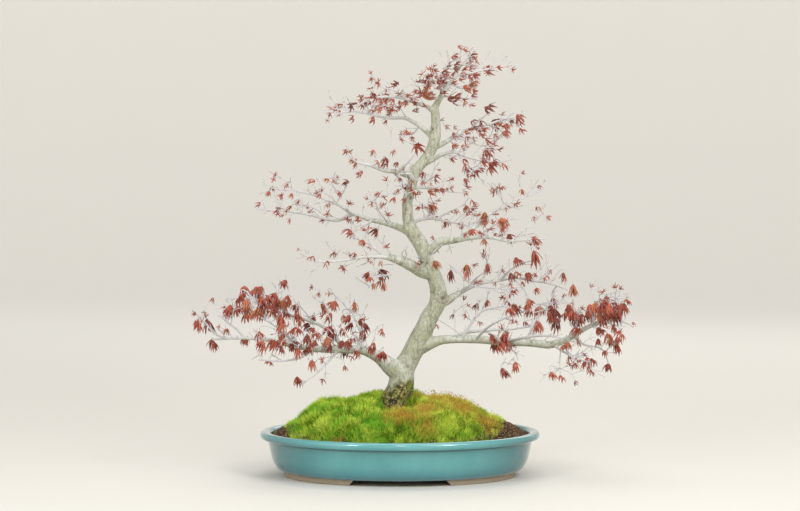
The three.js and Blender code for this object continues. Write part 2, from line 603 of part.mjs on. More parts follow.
/** The block that one foot is cut from: its inner end slopes outwards to the underside. */
function footBlock(sideX, sideY) {
  const far = POT_LENGTH / 2;
  const top = FOOT_HEIGHT + 1;
  const outline = new THREE.Shape();
  outline.moveTo(FOOT_INNER_END_X, -1);
  outline.lineTo(far, -1);
  outline.lineTo(far, top);
  outline.lineTo(FOOT_INNER_END_X - FOOT_END_SLOPE, top);
  outline.closePath();
  const depth = POT_DEPTH / 2 - FOOT_SPLIT_Y;
  const block = new THREE.ExtrudeGeometry(outline, { depth, bevelEnabled: false });
  block.rotateX(Math.PI / 2); // the outline stands upright, its thickness towards -Y
  block.translate(0, -FOOT_SPLIT_Y, 0);
  if (sideY > 0) {
    block.translate(0, 2 * FOOT_SPLIT_Y + depth, 0);
  }
  const solid = solidFrom(block);
  return sideX > 0 ? solid : solid.rotate([0, 0, 180]);
}

function buildPot() {
  const bandTop = FOOT_HEIGHT + 0.8;
  const bandOutside = ovalStack([[FOOT_INSET + 1, 0], [FOOT_INSET, bandTop]]);
  const bandInside = ovalStack([
    [FOOT_INSET + FOOT_WIDTH, -1],
    [FOOT_INSET + FOOT_WIDTH, bandTop + 1],
  ]);
  const band = bandOutside.subtract(bandInside);
  let pot = ovalStack(OUTER_PROFILE).subtract(ovalStack(INNER_PROFILE));
  for (const sideX of [-1, 1]) {
    for (const sideY of [-1, 1]) {
      pot = pot.add(band.intersect(footBlock(sideX, sideY)));
    }
    const drain = new THREE.CylinderGeometry(DRAIN_RADIUS, DRAIN_RADIUS, 2 * FLOOR_TOP, DRAIN_SIDES);
    drain.rotateX(Math.PI / 2).translate(sideX * DRAIN_X, 0, FLOOR_TOP);
    pot = pot.subtract(solidFrom(drain));
  }
  return pot;
}

/** A square plastic mesh that lies on the floor over a drain hole. */
function buildScreen(x) {
  const pitch = (SCREEN_SIDE - SCREEN_BAR) / SCREEN_CELLS;
  const cell = pitch - SCREEN_BAR;
  const middleZ = FLOOR_TOP + GAP + SCREEN_THICKNESS / 2;
  let screen = box(SCREEN_SIDE, SCREEN_SIDE, SCREEN_THICKNESS, x, 0, middleZ);
  for (let column = 0; column < SCREEN_CELLS; column++) {
    for (let row = 0; row < SCREEN_CELLS; row++) {
      const holeX = x + (column - (SCREEN_CELLS - 1) / 2) * pitch;
      const holeY = (row - (SCREEN_CELLS - 1) / 2) * pitch;
      screen = screen.subtract(box(cell, cell, 2 * SCREEN_THICKNESS, holeX, holeY, middleZ));
    }
  }
  return screen;
}

/** The height of the soil: level at the pot's edge and rising to the trunk. */
function soilTop(x, y) {
  const across = x / (POT_LENGTH / 2 - SOIL_INSET);
  const deep = y / (POT_DEPTH / 2 - SOIL_INSET);
  const out = Math.min(across * across + deep * deep, 1);
  return SOIL_EDGE + SOIL_MOUND * (1 - out * out);
}

/** The height of the moss's crest at x. */
function crestHeight(x) {
  const next = MOSS_CREST.findIndex(([crestX]) => crestX > x);
  if (next <= 0) {
    return MOSS_CREST.at(next < 0 ? -1 : 0)[1];
  }
  const [x0, z0] = MOSS_CREST[next - 1];
  const [x1, z1] = MOSS_CREST[next];
  return z0 + ((z1 - z0) * (x - x0)) / (x1 - x0);
}

/** The top of the moss: a crest that falls to both edges, dipped in front of the trunk. */
function mossTop(x, y) {
  const across = (x - MOSS_X) / MOSS_HALF_LENGTH;
  const edgeY = MOSS_HALF_DEPTH * Math.sqrt(Math.max(1 - across * across, 0));
  const toEdge = y < MOSS_CREST_Y ? MOSS_CREST_Y + edgeY : Math.max(edgeY - MOSS_CREST_Y, 1);
  const fall = Math.min(Math.abs(y - MOSS_CREST_Y) / toEdge, 1);
  const ground = soilTop(x, y);
  const rise = (crestHeight(x) - ground) * (1 - fall * fall);
  const dip = DIP.depth * Math.exp(-(((x - DIP.x) / DIP.reach) ** 2) - ((y - DIP.y) / DIP.reach) ** 2);
  const waves = Math.sin(x / LUMPS.lengthX + LUMPS.phase) * Math.cos(y / LUMPS.lengthY);
  const lumps = LUMPS.height * waves * (1 - fall * fall);
  return ground + Math.max(rise - dip + lumps, MOSS_LEAST_DEPTH);
}

/** A solid on an oval plan with a flat underside and a top that follows a height formula. */
function mound({ middleX, halfLength, halfDepth, underside, topAt, sectors, ringCount }) {
  const points = [new THREE.Vector3(middleX, 0, topAt(middleX, 0))];
  const faces = [];
  for (let ring = 1; ring <= ringCount; ring++) {
    const reach = ring / ringCount;
    for (let s = 0; s < sectors; s++) {
      const angle = (2 * Math.PI * s) / sectors;
      const x = middleX + halfLength * reach * Math.cos(angle);
      const y = halfDepth * reach * Math.sin(angle);
      points.push(new THREE.Vector3(x, y, topAt(x, y)));
    }
  }
  const rim = points.length - sectors;
  for (let s = 0; s < sectors; s++) {
    const next = (s + 1) % sectors;
    points.push(points[rim + s].clone().setZ(underside));
    faces.push([0, 1 + s, 1 + next]);
    faces.push([rim + s, rim + sectors + next, rim + next]);
    faces.push([rim + s, rim + sectors + s, rim + sectors + next]);
    for (let ring = 0; ring < ringCount - 1; ring++) {
      const low = 1 + ring * sectors;
      faces.push([low + s, low + sectors + s, low + sectors + next]);
      faces.push([low + s, low + sectors + next, low + next]);
    }
  }
  for (let s = 1; s < sectors - 1; s++) {
    faces.push([rim + sectors, rim + sectors + s + 1, rim + sectors + s]);
  }
  return solidOf(points, faces);
}

/** The plain round hole that the trunk's foot stands in, with room all round it. */
function trunkHole(room) {
  const foot = TRUNK.filter(([, , z]) => z < HOLE_TOP);
  const hole = foot.map(([x, y, z, radius]) => [x, y, z, radius * footRelief(0, z) + room]);
  hole[0][2] -= GAP;
  return loft(ringsAlong(hole, HOLE_SIDES));
}

function buildSoil() {
  const top = mound({
    middleX: 0,
    halfLength: POT_LENGTH / 2 - SOIL_INSET,
    halfDepth: POT_DEPTH / 2 - SOIL_INSET,
    underside: SOIL_EDGE - 1,
    topAt: soilTop,
    sectors: OVAL_SECTORS,
    ringCount: SOIL_RINGS,
  });
  let soil = ovalStack(SOIL_BLOCK).add(top).subtract(trunkHole(SOIL_ROOM));
  for (const x of [-DRAIN_X, DRAIN_X]) {
    const pocket = SCREEN_SIDE + 2 * GAP;
    const depth = 2 * (SCREEN_THICKNESS + 2 * GAP);
    soil = soil.subtract(box(pocket, pocket, depth, x, 0, FLOOR_TOP));
  }
  return soil;
}

/** One of the two moss pads, that meet at a seam through the trunk. */
function buildMoss(side, soil) {
  const mat = mound({
    middleX: MOSS_X,
    halfLength: MOSS_HALF_LENGTH,
    halfDepth: MOSS_HALF_DEPTH,
    underside: MOSS_UNDERSIDE,
    topAt: mossTop,
    sectors: MOSS_SECTORS,
    ringCount: MOSS_RINGS,
  });
  const far = POT_LENGTH;
  const half = box(far, far, far, MOSS_SEAM_X + (side * (far + GAP)) / 2, 0, 0);
  return mat.intersect(half).subtract(soil.translate([0, 0, GAP])).subtract(trunkHole(MOSS_ROOM));
}

// ---- Trunk ---------------------------------------------------------------------------------

/** The trunk's foot swells into root buttresses, which fade out upwards. */
function footRelief(angle, z) {
  const fade = z < FOOT_LOBE_TOP ? 0 : Math.exp(-(z - FOOT_LOBE_TOP) / FOOT_LOBE_FADE);
  return 1 + FOOT_LOBE_DEPTH * fade * Math.cos(FOOT_LOBES * angle);
}

/** Cuts a limb's route off its bends, where it is clear of the trunk: [root, the rest]. */
function splitLimb(route) {
  const trunk = piecesOf(TRUNK);
  for (let i = 1; i < route.length; i++) {
    for (const share of CUT_SHARES) {
      const end = mix(route[i - 1], route[i], share);
      if (distanceToWood(vector(end), trunk) > end[3] + LIMB_STUB) {
        const step = vector(route[i]).distanceTo(vector(route[i - 1]));
        const start = mix(route[i - 1], route[i], share + GAP / step);
        return [[...route.slice(0, i), end], [start, ...route.slice(i)]];
      }
    }
  }
  throw new Error("the limb never leaves the trunk");
}

function buildTrunk() {
  const stem = loft(ringsAlong(TRUNK, TRUNK_SIDES, footRelief));
  const stubs = Object.values(LIMBS).map(({ route }) => {
    const [stub] = splitLimb(route);
    return loft(ringsAlong(stub, LIMB_SIDES));
  });
  return wasm.Manifold.union([stem, ...stubs]);
}

// ---- Sprays --------------------------------------------------------------------------------

/** A point of the front view, moved along its line of sight to a depth. */
function inSight(x, z, y) {
  const share = (EYE_DISTANCE + y) / EYE_DISTANCE;
  return new THREE.Vector3(x * share, y, EYE_HEIGHT + (z - EYE_HEIGHT) * share);
}

function distanceToTufts(point, tufts) {
  const distances = tufts.map(({ middle, reach }) => middle.distanceTo(point) - reach);
  return Math.min(Infinity, ...distances);
}

/** The wood of the trunk, of the roots of all the limbs and of the other limbs. */
function foreignWood(limb, limbs) {
  const others = limbs.filter((other) => other !== limb).flatMap((other) => other.wood);
  return [...piecesOf(TRUNK), ...limbs.flatMap((other) => other.root), ...others];
}

/** The depth of the limb's wood that stands nearest to a tuft in the front view. */
function woodDepth(x, z, routes) {
  let depth = 0;
  let least = Infinity;
  for (const route of routes) {
    for (let i = 1; i < route.length; i++) {
      for (const share of DEPTH_SHARES) {
        const [woodX, woodY, woodZ] = mix(route[i - 1], route[i], share);
        const away = Math.hypot(woodX - x, woodZ - z);
        if (away < least) {
          least = away;
          depth = woodY;
        }
      }
    }
  }
  return depth;
}

/** Settles the depth of every tuft, so that those of different limbs keep clear. */
function placeTufts(limbs) {
  const placed = [];
  limbs.forEach((limb, number) => {
    const random = seededRandom(number + 11);
    const others = foreignWood(limb, limbs);
    for (const [x, z, width, height] of limb.tufts) {
      const length = THREE.MathUtils.clamp(LEAF_SHARE * Math.max(width, height), LEAF_LEAST, LEAF_MOST);
      const reach = REACH_SHARE * length;
      const base = woodDepth(x, z, limb.routes);
      for (let draw = 0; draw < DEPTH_DRAWS; draw++) {
        const away = (2 * random() - 1) * limb.spread * (FIRST_SPREAD + MORE_SPREAD * draw);
        const depth = THREE.MathUtils.clamp(base + away, -DEPTH_LIMIT, DEPTH_LIMIT);
        const middle = inSight(x, z, depth);
        const own = placed.filter((tuft) => tuft.limb === limb);
        const foreign = placed.filter((tuft) => tuft.limb !== limb);
        if (
          distanceToTufts(middle, foreign) > reach + CLEAR
          && distanceToTufts(middle, own) > OWN_CLEAR * reach
          && distanceToWood(middle, limb.wood) > OWN_CLEAR * reach
          && distanceToWood(middle, others) > reach + CLEAR
        ) {
          placed.push({ limb, middle, length, reach, turn: 360 * random(), tilt: random() });
          break;
        }
      }
    }
  });
  return placed;
}

/** The axis that a tuft's leaf opens round: outwards from the trunk, and down by its droop. */
function leafAxis(tuft) {
  const lean = radians(tuft.turn);
  const out = new THREE.Vector3(tuft.middle.x - HEART_X, tuft.middle.y, HEART_X).normalize();
  const wander = new THREE.Vector3(Math.cos(lean), Math.sin(lean), 0);
  return new THREE.Vector3(0, 0, -tuft.limb.droop)
    .addScaledVector(out, 1 - tuft.limb.droop)
    .addScaledVector(wander, LEAF_LEAN)
    .normalize();
}

/** A twig's points, from a place on the wood, over a bend, down to the leaf's hub. */
function twigPoints(place, tuft) {
  const gap = place.distanceTo(tuft.hub);
  if (gap < SHORT_TWIG) {
    return [place.clone(), tuft.hub.clone()];
  }
  const hang = Math.min(HANG.share * gap, HANG.most);
  const bend = tuft.hub.clone().addScaledVector(tuft.axis, -hang);
  if (gap < LONG_TWIG) {
    return [place.clone(), bend, tuft.hub.clone()];
  }
  const middle = place.clone().lerp(bend, 0.5);
  middle.z += TWIG_BOW * gap;
  return [place.clone(), middle, bend, tuft.hub.clone()];
}

/** The places on a route that a twig can start from, with the way that the wood grows there. */
function placesOn(points, spacing, owner) {
  const places = [];
  for (let i = 1; i < points.length; i++) {
    const along = points[i].clone().sub(points[i - 1]);
    const steps = Math.max(Math.round(along.length() / spacing), 1);
    for (let step = 1; step <= steps; step++) {
      const point = points[i - 1].clone().lerp(points[i], (step - 0.4) / steps);
      places.push({ point, along: along.clone().normalize(), owner });
    }
  }
  return places;
}

/** Joins every tuft of a limb to the nearest fitting wood, the nearest tufts first. */
function growTwigs(limb, tufts, otherWood, otherTufts) {
  const places = limb.routes.flatMap((route) => placesOn(route.map(vector), TWIG_PLACES, null));
  const twigs = [];
  const waiting = tufts
    .map((tuft) => ({ tuft, away: distanceToWood(tuft.hub, limb.wood) }))
    .sort((a, b) => a.away - b.away);
  for (const { tuft } of waiting) {
    const ranked = places
      .map((place) => {
        const way = tuft.hub.clone().sub(place.point);
        const gap = way.length();
        const turn = Math.max(TURN_LEAST - way.normalize().dot(place.along), 0);
        return { place, cost: gap + TURN_COST * turn + (gap < CLOSE ? CLOSE_COST : 0) };
      })
      .sort((a, b) => a.cost - b.cost)
      .slice(0, TWIG_TRIES);
    for (const { place } of ranked) {
      const points = twigPoints(place.point, tuft);
      const probes = placesOn(points, TWIG_PROBES, null).map((probe) => probe.point);
      const clear = probes.every(
        (probe) =>
          distanceToWood(probe, otherWood) > TIP_RADIUS + CLEAR
          && distanceToTufts(probe, otherTufts) > TIP_RADIUS,
      );
      if (clear) {
        const twig = { tuft, points, parent: place.owner, carried: 1 };
        for (let carrier = twig.parent; carrier; carrier = carrier.parent) {
          carrier.carried += 1;
        }
        twigs.push(twig);
        places.push(...placesOn(points.slice(0, -1), TWIG_PLACES, twig));
        break;
      }
    }
  }
  return twigs;
}

/** A leaf of pointed lobes at the end of its twig, as one closed solid. */
function leafyTwig(twig, opening) {
  const { tuft, points, carried } = twig;
  const thick = TIP_RADIUS * Math.sqrt(carried);
  const route = points.map((point, i) => {
    const share = i / (points.length - 1);
    return [...point.toArray(), thick + (TIP_RADIUS - thick) * share];
  });
  const rings = ringsAlong(route, TWIG_SIDES);
  const vertices = rings.flat();
  const faces = sideFaces(rings.length, TWIG_SIDES);
  faces.push([0, 2, 1]);
  const hub = points.at(-1);
  const along = hub.clone().sub(points.at(-2)).normalize();
  const side = vertices.at(-TWIG_SIDES).clone().sub(hub).normalize();
  const across = along.clone().cross(side);
  const small = tuft.length < SMALL_LEAF;
  const lobes = (small ? SMALL_LOBES : LOBES).map((lobe) => [...lobe, opening]);
  const notches = (small ? SMALL_NOTCHES : NOTCHES).map((notch) => [...notch, NOTCH_SPREAD]);
  const outline = [...lobes, ...notches]
    .map(([azimuth, reach, spread]) => [(azimuth + tuft.turn + 720) % 360, reach, spread])
    .sort((a, b) => a[0] - b[0]);
  const ringStart = vertices.length - TWIG_SIDES;
  const leafStart = vertices.length;
  for (const [azimuth, reach, spread] of outline) {
    const out = tuft.length * reach * Math.sin(radians(spread));
    const down = tuft.length * reach * Math.cos(radians(spread));
    vertices.push(
      hub.clone()
        .addScaledVector(side, out * Math.cos(radians(azimuth)))
        .addScaledVector(across, out * Math.sin(radians(azimuth)))
        .addScaledVector(along, down + LEAF_THICKNESS / 2),
    );
  }
  vertices.push(hub.clone().addScaledVector(along, LEAF_THICKNESS));
  const far = vertices.length - 1;
  const nearRing = (azimuth) => Math.round(azimuth / 120) % TWIG_SIDES;
  outline.forEach(([azimuth], i) => {
    const next = (i + 1) % outline.length;
    const here = leafStart + i;
    const there = leafStart + next;
    const ring = nearRing(azimuth);
    const nextRing = nearRing(outline[next][0]);
    faces.push([here, there, far]);
    faces.push([there, here, ringStart + ring]);
    if (nextRing !== ring) {
      faces.push([ringStart + ring, ringStart + nextRing, there]);
    }
  });
  return solidOf(vertices, faces);
}

/** Every limb's solid, from its cut end at the trunk out to its leaves. */
function buildSprays() {
  const limbs = Object.entries(LIMBS).map(([name, limb]) => {
    const [stub, outer] = splitLimb(limb.route);
    const routes = [outer, ...limb.shoots];
    const tufts = limb.tufts.filter(
      ([, , width, height], i) => Math.max(width, height) >= SMALLEST_TUFT || i % 2 === 0,
    );
    return { ...limb, name, tufts, routes, root: piecesOf(stub), wood: routes.flatMap(piecesOf) };
  });
  const tufts = placeTufts(limbs);
  for (const tuft of tufts) {
    const back = HUB_SHARE * tuft.length * Math.cos(radians(tuft.limb.opening));
    tuft.axis = leafAxis(tuft);
    tuft.hub = tuft.middle.clone().addScaledVector(tuft.axis, -back);
  }
  const grown = [];
  return limbs.map((limb) => {
    const otherTufts = tufts.filter((tuft) => tuft.limb !== limb);
    const own = tufts.filter((tuft) => tuft.limb === limb);
    const twigs = growTwigs(limb, own, [...foreignWood(limb, limbs), ...grown], otherTufts);
    for (const { points } of twigs) {
      grown.push(...piecesOf(points.map((point) => [...point.toArray(), GROWN_RADIUS])));
    }
    const wood = limb.routes.map((route, i) =>
      loft(ringsAlong(route, i === 0 ? LIMB_SIDES : TWIG_SIDES)),
    );
    const leaves = twigs.map((twig) => leafyTwig(twig, limb.opening));
    return [limb.name, wasm.Manifold.union([...wood, ...leaves])];
  });
}

// ---- The whole tree ------------------------------------------------------------------------

const tree = new THREE.Group();
tree.name = "bonsai_tree_in_a_pot";
tree.position.x = POT_SHIFT_X;

const soil = buildSoil();
tree.add(meshOf("pot", buildPot(), "glaze"));
tree.add(meshOf("drain_screen_left", buildScreen(-DRAIN_X), "screen"));
tree.add(meshOf("drain_screen_right", buildScreen(DRAIN_X), "screen"));
tree.add(meshOf("soil", soil, "soil"));
tree.add(meshOf("moss_left", buildMoss(-1, soil), "moss"));
tree.add(meshOf("moss_right", buildMoss(1, soil), "moss"));
tree.add(meshOf("trunk", buildTrunk(), "bark"));
for (const [name, solid] of buildSprays()) {
  tree.add(meshOf(name, solid, "leaves"));
}

export default tree;
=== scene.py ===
"""A maple grown as a bonsai: the oval glazed pot, the soil and moss in it, and the tree."""

import json
import math
from functools import lru_cache

import bpy
import numpy as np
from bpy.props import FloatProperty, FloatVectorProperty, IntProperty, PointerProperty
from bpy.types import Operator, Panel, PropertyGroup
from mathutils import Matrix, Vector, noise

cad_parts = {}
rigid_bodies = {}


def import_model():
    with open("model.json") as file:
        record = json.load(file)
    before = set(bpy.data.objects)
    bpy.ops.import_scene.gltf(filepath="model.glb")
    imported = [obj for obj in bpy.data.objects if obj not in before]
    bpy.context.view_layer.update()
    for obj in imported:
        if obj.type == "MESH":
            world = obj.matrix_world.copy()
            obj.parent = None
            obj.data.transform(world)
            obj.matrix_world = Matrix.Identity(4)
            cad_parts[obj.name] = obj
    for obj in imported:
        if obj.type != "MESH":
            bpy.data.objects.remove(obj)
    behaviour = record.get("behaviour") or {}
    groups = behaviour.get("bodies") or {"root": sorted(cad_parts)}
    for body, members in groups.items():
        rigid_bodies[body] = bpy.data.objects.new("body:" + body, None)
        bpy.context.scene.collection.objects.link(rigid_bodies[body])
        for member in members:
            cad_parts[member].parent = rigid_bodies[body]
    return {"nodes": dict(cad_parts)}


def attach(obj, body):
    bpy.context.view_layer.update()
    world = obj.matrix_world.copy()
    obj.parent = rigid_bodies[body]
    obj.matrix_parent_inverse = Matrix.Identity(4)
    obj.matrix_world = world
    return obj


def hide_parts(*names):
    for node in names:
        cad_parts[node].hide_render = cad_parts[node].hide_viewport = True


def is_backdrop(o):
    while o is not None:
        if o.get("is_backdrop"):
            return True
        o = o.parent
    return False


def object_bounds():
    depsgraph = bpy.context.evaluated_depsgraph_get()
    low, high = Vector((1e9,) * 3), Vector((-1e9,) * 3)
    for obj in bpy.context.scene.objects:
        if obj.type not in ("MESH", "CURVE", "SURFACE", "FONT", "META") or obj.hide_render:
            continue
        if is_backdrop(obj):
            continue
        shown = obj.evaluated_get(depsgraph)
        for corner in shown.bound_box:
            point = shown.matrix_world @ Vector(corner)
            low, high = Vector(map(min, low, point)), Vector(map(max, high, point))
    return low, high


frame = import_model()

bl_info = {
    "name": "Bonsai maple",
    "version": (1, 0, 0),
    "blender": (4, 5, 0),
    "location": "3D View > Sidebar > Bonsai",
    "description": "Builds a bonsai maple in an oval glazed pot",
    "category": "Add Mesh",
}

CAD_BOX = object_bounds()
MM = 0.001
POT_X = -17.6  # the pot's middle, left of the frame's; all places below are measured from it

# ---- The pot, soil and moss, in millimetres ----

HALF_LENGTH = 225.0
HALF_DEPTH = 170.0
OVAL_STEPS = 144
# The pot's wall as (inset from the lip, height): under the bowl, up the outside, over the
# lip, and down the inside to the floor.
WALL = [
    (60, 8.5), (41, 8.5), (37, 8.7), (33.6, 9.3), (30.4, 10.8), (27.2, 13.4), (24.2, 17.2),
    (21.4, 22), (18.9, 28), (17.1, 35), (15.5, 42), (14, 49), (12.7, 55), (12.1, 57.8),
    (11.5, 59.3), (10.2, 59.9), (7, 60), (4.2, 60.4), (2, 61.4), (0.7, 63.2), (0.2, 65.6),
    (0.3, 68), (1.2, 70.2), (3, 71.7), (5.6, 72.4), (9, 72.5), (12.4, 72.1), (15, 71),
    (16.6, 69.2), (17.2, 66.5), (17.8, 60), (22.5, 46), (30, 24), (36, 18.6), (42, 17), (60, 17),
]
FOOT_BAND = (38.0, 55.0)  # insets of a foot's outside and inside
FOOT_TOP = 9.4
FOOT_END_X = 80.0
FOOT_END_SLOPE = 8.0
FOOT_SPLIT_Y = 25.0
DRAIN_X = 95.0
DRAIN_RADIUS = 9.0

SOIL_EDGE = 65.0
SOIL_MOUND = 37.0
SOIL_INSET = 19.1
GRAIN_KINDS = 5
MOSS_X = -8.0
MOSS_HALF_LENGTH = 171.0
MOSS_HALF_DEPTH = 143.0
MOSS_CREST_Y = 14.0
MOSS_CREST = [
    (-180, 80), (-160, 95), (-142, 110), (-128, 120), (-75, 122), (-48, 131), (-20, 134),
    (22, 132), (40, 125), (80, 124), (104, 117), (128, 104), (148, 90), (164, 78),
]
MOSS_LEAST_DEPTH = 4.0
MOSS_LEAST_INSET = 22.0
MOSS_SEAM_X = -6.0
PAD_THICKNESS = 6.0
PAD_DROP = 6.5  # how far the pad lies under its blades' mean tips
CUSHION_HEIGHT = 8.4
BLADE_ROOT = 3.2  # how deep in the pad a blade starts
# Where the moss lies lower than its mound, as (depth, x, y, half length, half depth).
MOSS_DIPS = [(26, -6, -40, 30, 30), (20, -10, -36, 25, 28), (12, -48, -106, 6, 8)]
# Where it is ripe and russet, as (x, y, half length, half depth).
RUSSET_ZONES = [
    (4, -96, 36, 26), (40, -104, 18, 32), (42, -60, 26, 44), (96, -20, 44, 58),
    (138, -50, 24, 48), (60, 20, 40, 40), (-95, -125, 12, 10),
]
ZONE_WANDER = 9.0
BRIGHT_STRIPS = [(-36, 18), (72, 20)]  # (x, half length) along its front
FRESH_X = -40.0  # the middle of its freshest patch
FRESH_Y = -112.0

# ---- The tree, in millimetres ----

# The trunk's middle line as (x, y, z, radius), from its foot in the soil upwards.
TRUNK = [
    (-9, 0, 31, 20), (-9, 0, 84, 22.5), (-9, 0, 103, 23.5), (-6, 1, 123, 21.5), (0, 3, 141, 20.6),
    (3, 5, 158, 19.2), (6, 7, 172, 18), (15, 8, 187, 16.6), (24, 9, 205, 16.5), (32, 10, 220, 16.5),
    (40, 9, 237, 15.5), (47, 8, 253, 14.6), (57, 6, 270, 13.6), (62, 4, 285, 14), (61, 2, 300, 13),
    (56, 0, 317, 12.2), (49, -2, 333, 12), (42, -3, 347, 11.2), (37, -4, 364, 12),
    (28, -5, 380, 11.6), (18, -6, 396, 11), (13.5, -7, 411, 9.6), (12, -8, 428, 8.8),
    (12, -9, 443, 8), (17, -10, 459, 7.6), (21, -10, 476, 8), (24, -9, 489, 8.8),
    (34, -8, 500, 8.5), (42, -6, 510, 8.6), (50, -5, 524, 9), (55, -4, 540, 9.2),
    (57, -2, 556, 8.4), (57, -1, 572, 7.4), (56, 0, 584, 7), (54, 0, 592, 6.2),
]

# Each limb: its route and its shoots' as (x, y, z, radius), then the tufts of leaves on it as
# (x, z, width, height) in the front view. droop 1 hangs straight down, 0 points outwards.
# spread is how far its tufts reach to either side of it, in depth.
LIMBS = {}
LIMBS["low_left"] = {
    "droop": 0.92, "opening": 38, "spread": 56,
    "route": [
        (3, 3, 164, 17), (-13, -2, 174, 15), (-32, -8, 190, 10), (-54, -16, 202, 8),
        (-87, -26, 205, 6.4), (-119, -34, 206, 5.4), (-151, -38, 209, 4.6), (-182, -36, 215, 4),
        (-210, -30, 221, 3.4), (-239, -24, 223, 2.8), (-271, -16, 222, 2.2), (-300, -8, 219, 1.4),
    ],
    "shoots": [
        [
            (-87, -26, 205, 4), (-104, 4, 221, 3.6), (-121, 30, 235, 3), (-154, 52, 247, 2.4),
            (-187, 66, 254, 1.9), (-215, 74, 261, 1.3),
        ],
        [
            (-247, -23, 222, 2.2), (-260, -8, 235, 1.9), (-282, 8, 250, 1.5), (-296, 18, 270, 1.2),
            (-307, 24, 286, 0.9),
        ],
        [
            (-274, -15, 221, 1.9), (-294, -24, 229, 1.6), (-309, -34, 248, 1.3),
            (-328, -42, 268, 0.9),
        ],
        [(-139, -37, 207, 2.2), (-157, -62, 196, 1.9), (-188, -86, 192, 1.5), (-221, -104, 196, 1)],
        [(-98, -29, 205, 2), (-114, -52, 188, 1.6), (-132, -72, 171, 1.2), (-152, -84, 157, 0.9)],
        [(-61, -18, 203, 3), (-61, 34, 219, 2.6), (-72, 84, 241, 2), (-83, 124, 261, 1.2)],
        [(-165, -38, 212, 2.4), (-179, -66, 232, 2), (-206, -96, 255, 1.5), (-233, -118, 272, 1)],
    ],
    "tufts": [
        (-328, 239, 22, 24), (-310, 239, 27, 29), (-301, 209, 22, 24), (-269, 259, 24, 27),
        (-248, 275, 16, 18), (-243, 262, 24, 16), (-232, 294, 24, 24), (-214, 279, 27, 26),
        (-181, 278, 24, 24), (-221, 257, 19, 22), (-192, 243, 26, 27), (-166, 259, 18, 18),
        (-184, 307, 22, 19), (-251, 215, 16, 14), (-224, 206, 21, 26), (-205, 206, 26, 29),
        (-171, 209, 30, 16), (-168, 230, 24, 22), (-149, 238, 22, 19), (-136, 223, 18, 21),
        (-115, 228, 21, 32), (-106, 273, 26, 21), (-131, 289, 10, 14), (-126, 265, 14, 29),
        (-75, 271, 19, 21), (-61, 244, 19, 24), (-90, 252, 16, 16), (-142, 175, 19, 24),
        (-211, 180, 18, 11), (-165, 151, 21, 18), (-94, 207, 13, 24), (-80, 215, 16, 13),
        (-62, 219, 14, 16), (-86, 193, 19, 16), (-69, 193, 19, 18), (-48, 198, 14, 18),
        (-30, 190, 24, 24), (-30, 230, 14, 16), (-88, 171, 13, 14), (-301, 281, 11, 13),
        (-114, 291, 13, 8), (-278, 230, 16, 16),
    ],
}
LIMBS["low_right"] = {
    "droop": 0.92, "opening": 38, "spread": 56,
    "route": [
        (29, 9, 203, 12), (48, 9, 212, 10.5), (66, 12, 217, 8), (88, 17, 218, 6.8),
        (129, 22, 217, 6.5), (169, 22, 213, 6.3), (209, 18, 212, 6.1), (244, 10, 210, 5.9),
        (266, 4, 218, 5), (288, -4, 232, 4.2), (319, -10, 247, 3.2), (348, -14, 251, 2.4),
        (373, -16, 242, 1.4),
    ],
    "shoots": [
        [
            (84, 16, 218, 3.4), (107, 44, 226, 3), (147, 76, 228, 2.4), (189, 100, 228, 1.8),
            (231, 116, 233, 1.2),
        ],
        [(174, 22, 213, 2.6), (199, -14, 223, 2.2), (229, -48, 229, 1.7), (254, -76, 228, 1.1)],
        [(166, 22, 212, 2), (179, 0, 203, 1.7), (188, -22, 192, 1.3), (182, -36, 179, 0.9)],
        [(249, 8, 208, 2.3), (264, -22, 200, 1.9), (280, -48, 191, 1.5), (296, -66, 190, 1)],
        [(277, 0, 225, 2.2), (298, 26, 208, 1.8), (329, 48, 198, 1.4), (340, 60, 176, 0.9)],
        [(206, 18, 214, 2), (216, 52, 243, 1.6), (224, 78, 271, 1.2), (242, 90, 266, 0.9)],
        [(100, 18, 217, 2.6), (114, 64, 236, 2.2), (135, 104, 256, 1.7), (172, 134, 263, 1)],
        [(122, 21, 217, 2.2), (143, -30, 243, 1.8), (176, -74, 263, 1.3), (202, -104, 274, 0.9)],
        [(303, -7, 240, 2), (320, -36, 266, 1.6), (350, -60, 274, 1)],
    ],
    "tufts": [
        (123, 270, 13, 19), (139, 275, 11, 19), (171, 276, 18, 13), (184, 265, 19, 24),
        (208, 270, 10, 29), (181, 247, 14, 11), (200, 243, 16, 13), (219, 238, 24, 26),
        (246, 263, 19, 24), (251, 241, 24, 29), (272, 259, 35, 24), (307, 263, 27, 30),
        (333, 267, 24, 40), (352, 263, 29, 32), (363, 278, 19, 14), (374, 243, 11, 10),
        (283, 243, 16, 14), (322, 230, 19, 16), (320, 214, 19, 16), (344, 235, 11, 24),
        (341, 212, 21, 19), (330, 195, 13, 16), (334, 172, 21, 19), (302, 182, 26, 19),
        (283, 183, 13, 13), (274, 187, 13, 16), (288, 211, 14, 16), (270, 207, 22, 18),
        (157, 209, 29, 29), (176, 199, 11, 13), (165, 163, 18, 24), (186, 174, 19, 21),
        (245, 158, 14, 21), (259, 155, 13, 16), (283, 147, 11, 13), (58, 238, 13, 14),
        (85, 254, 10, 13), (104, 255, 10, 13), (128, 243, 11, 13),
    ],
}
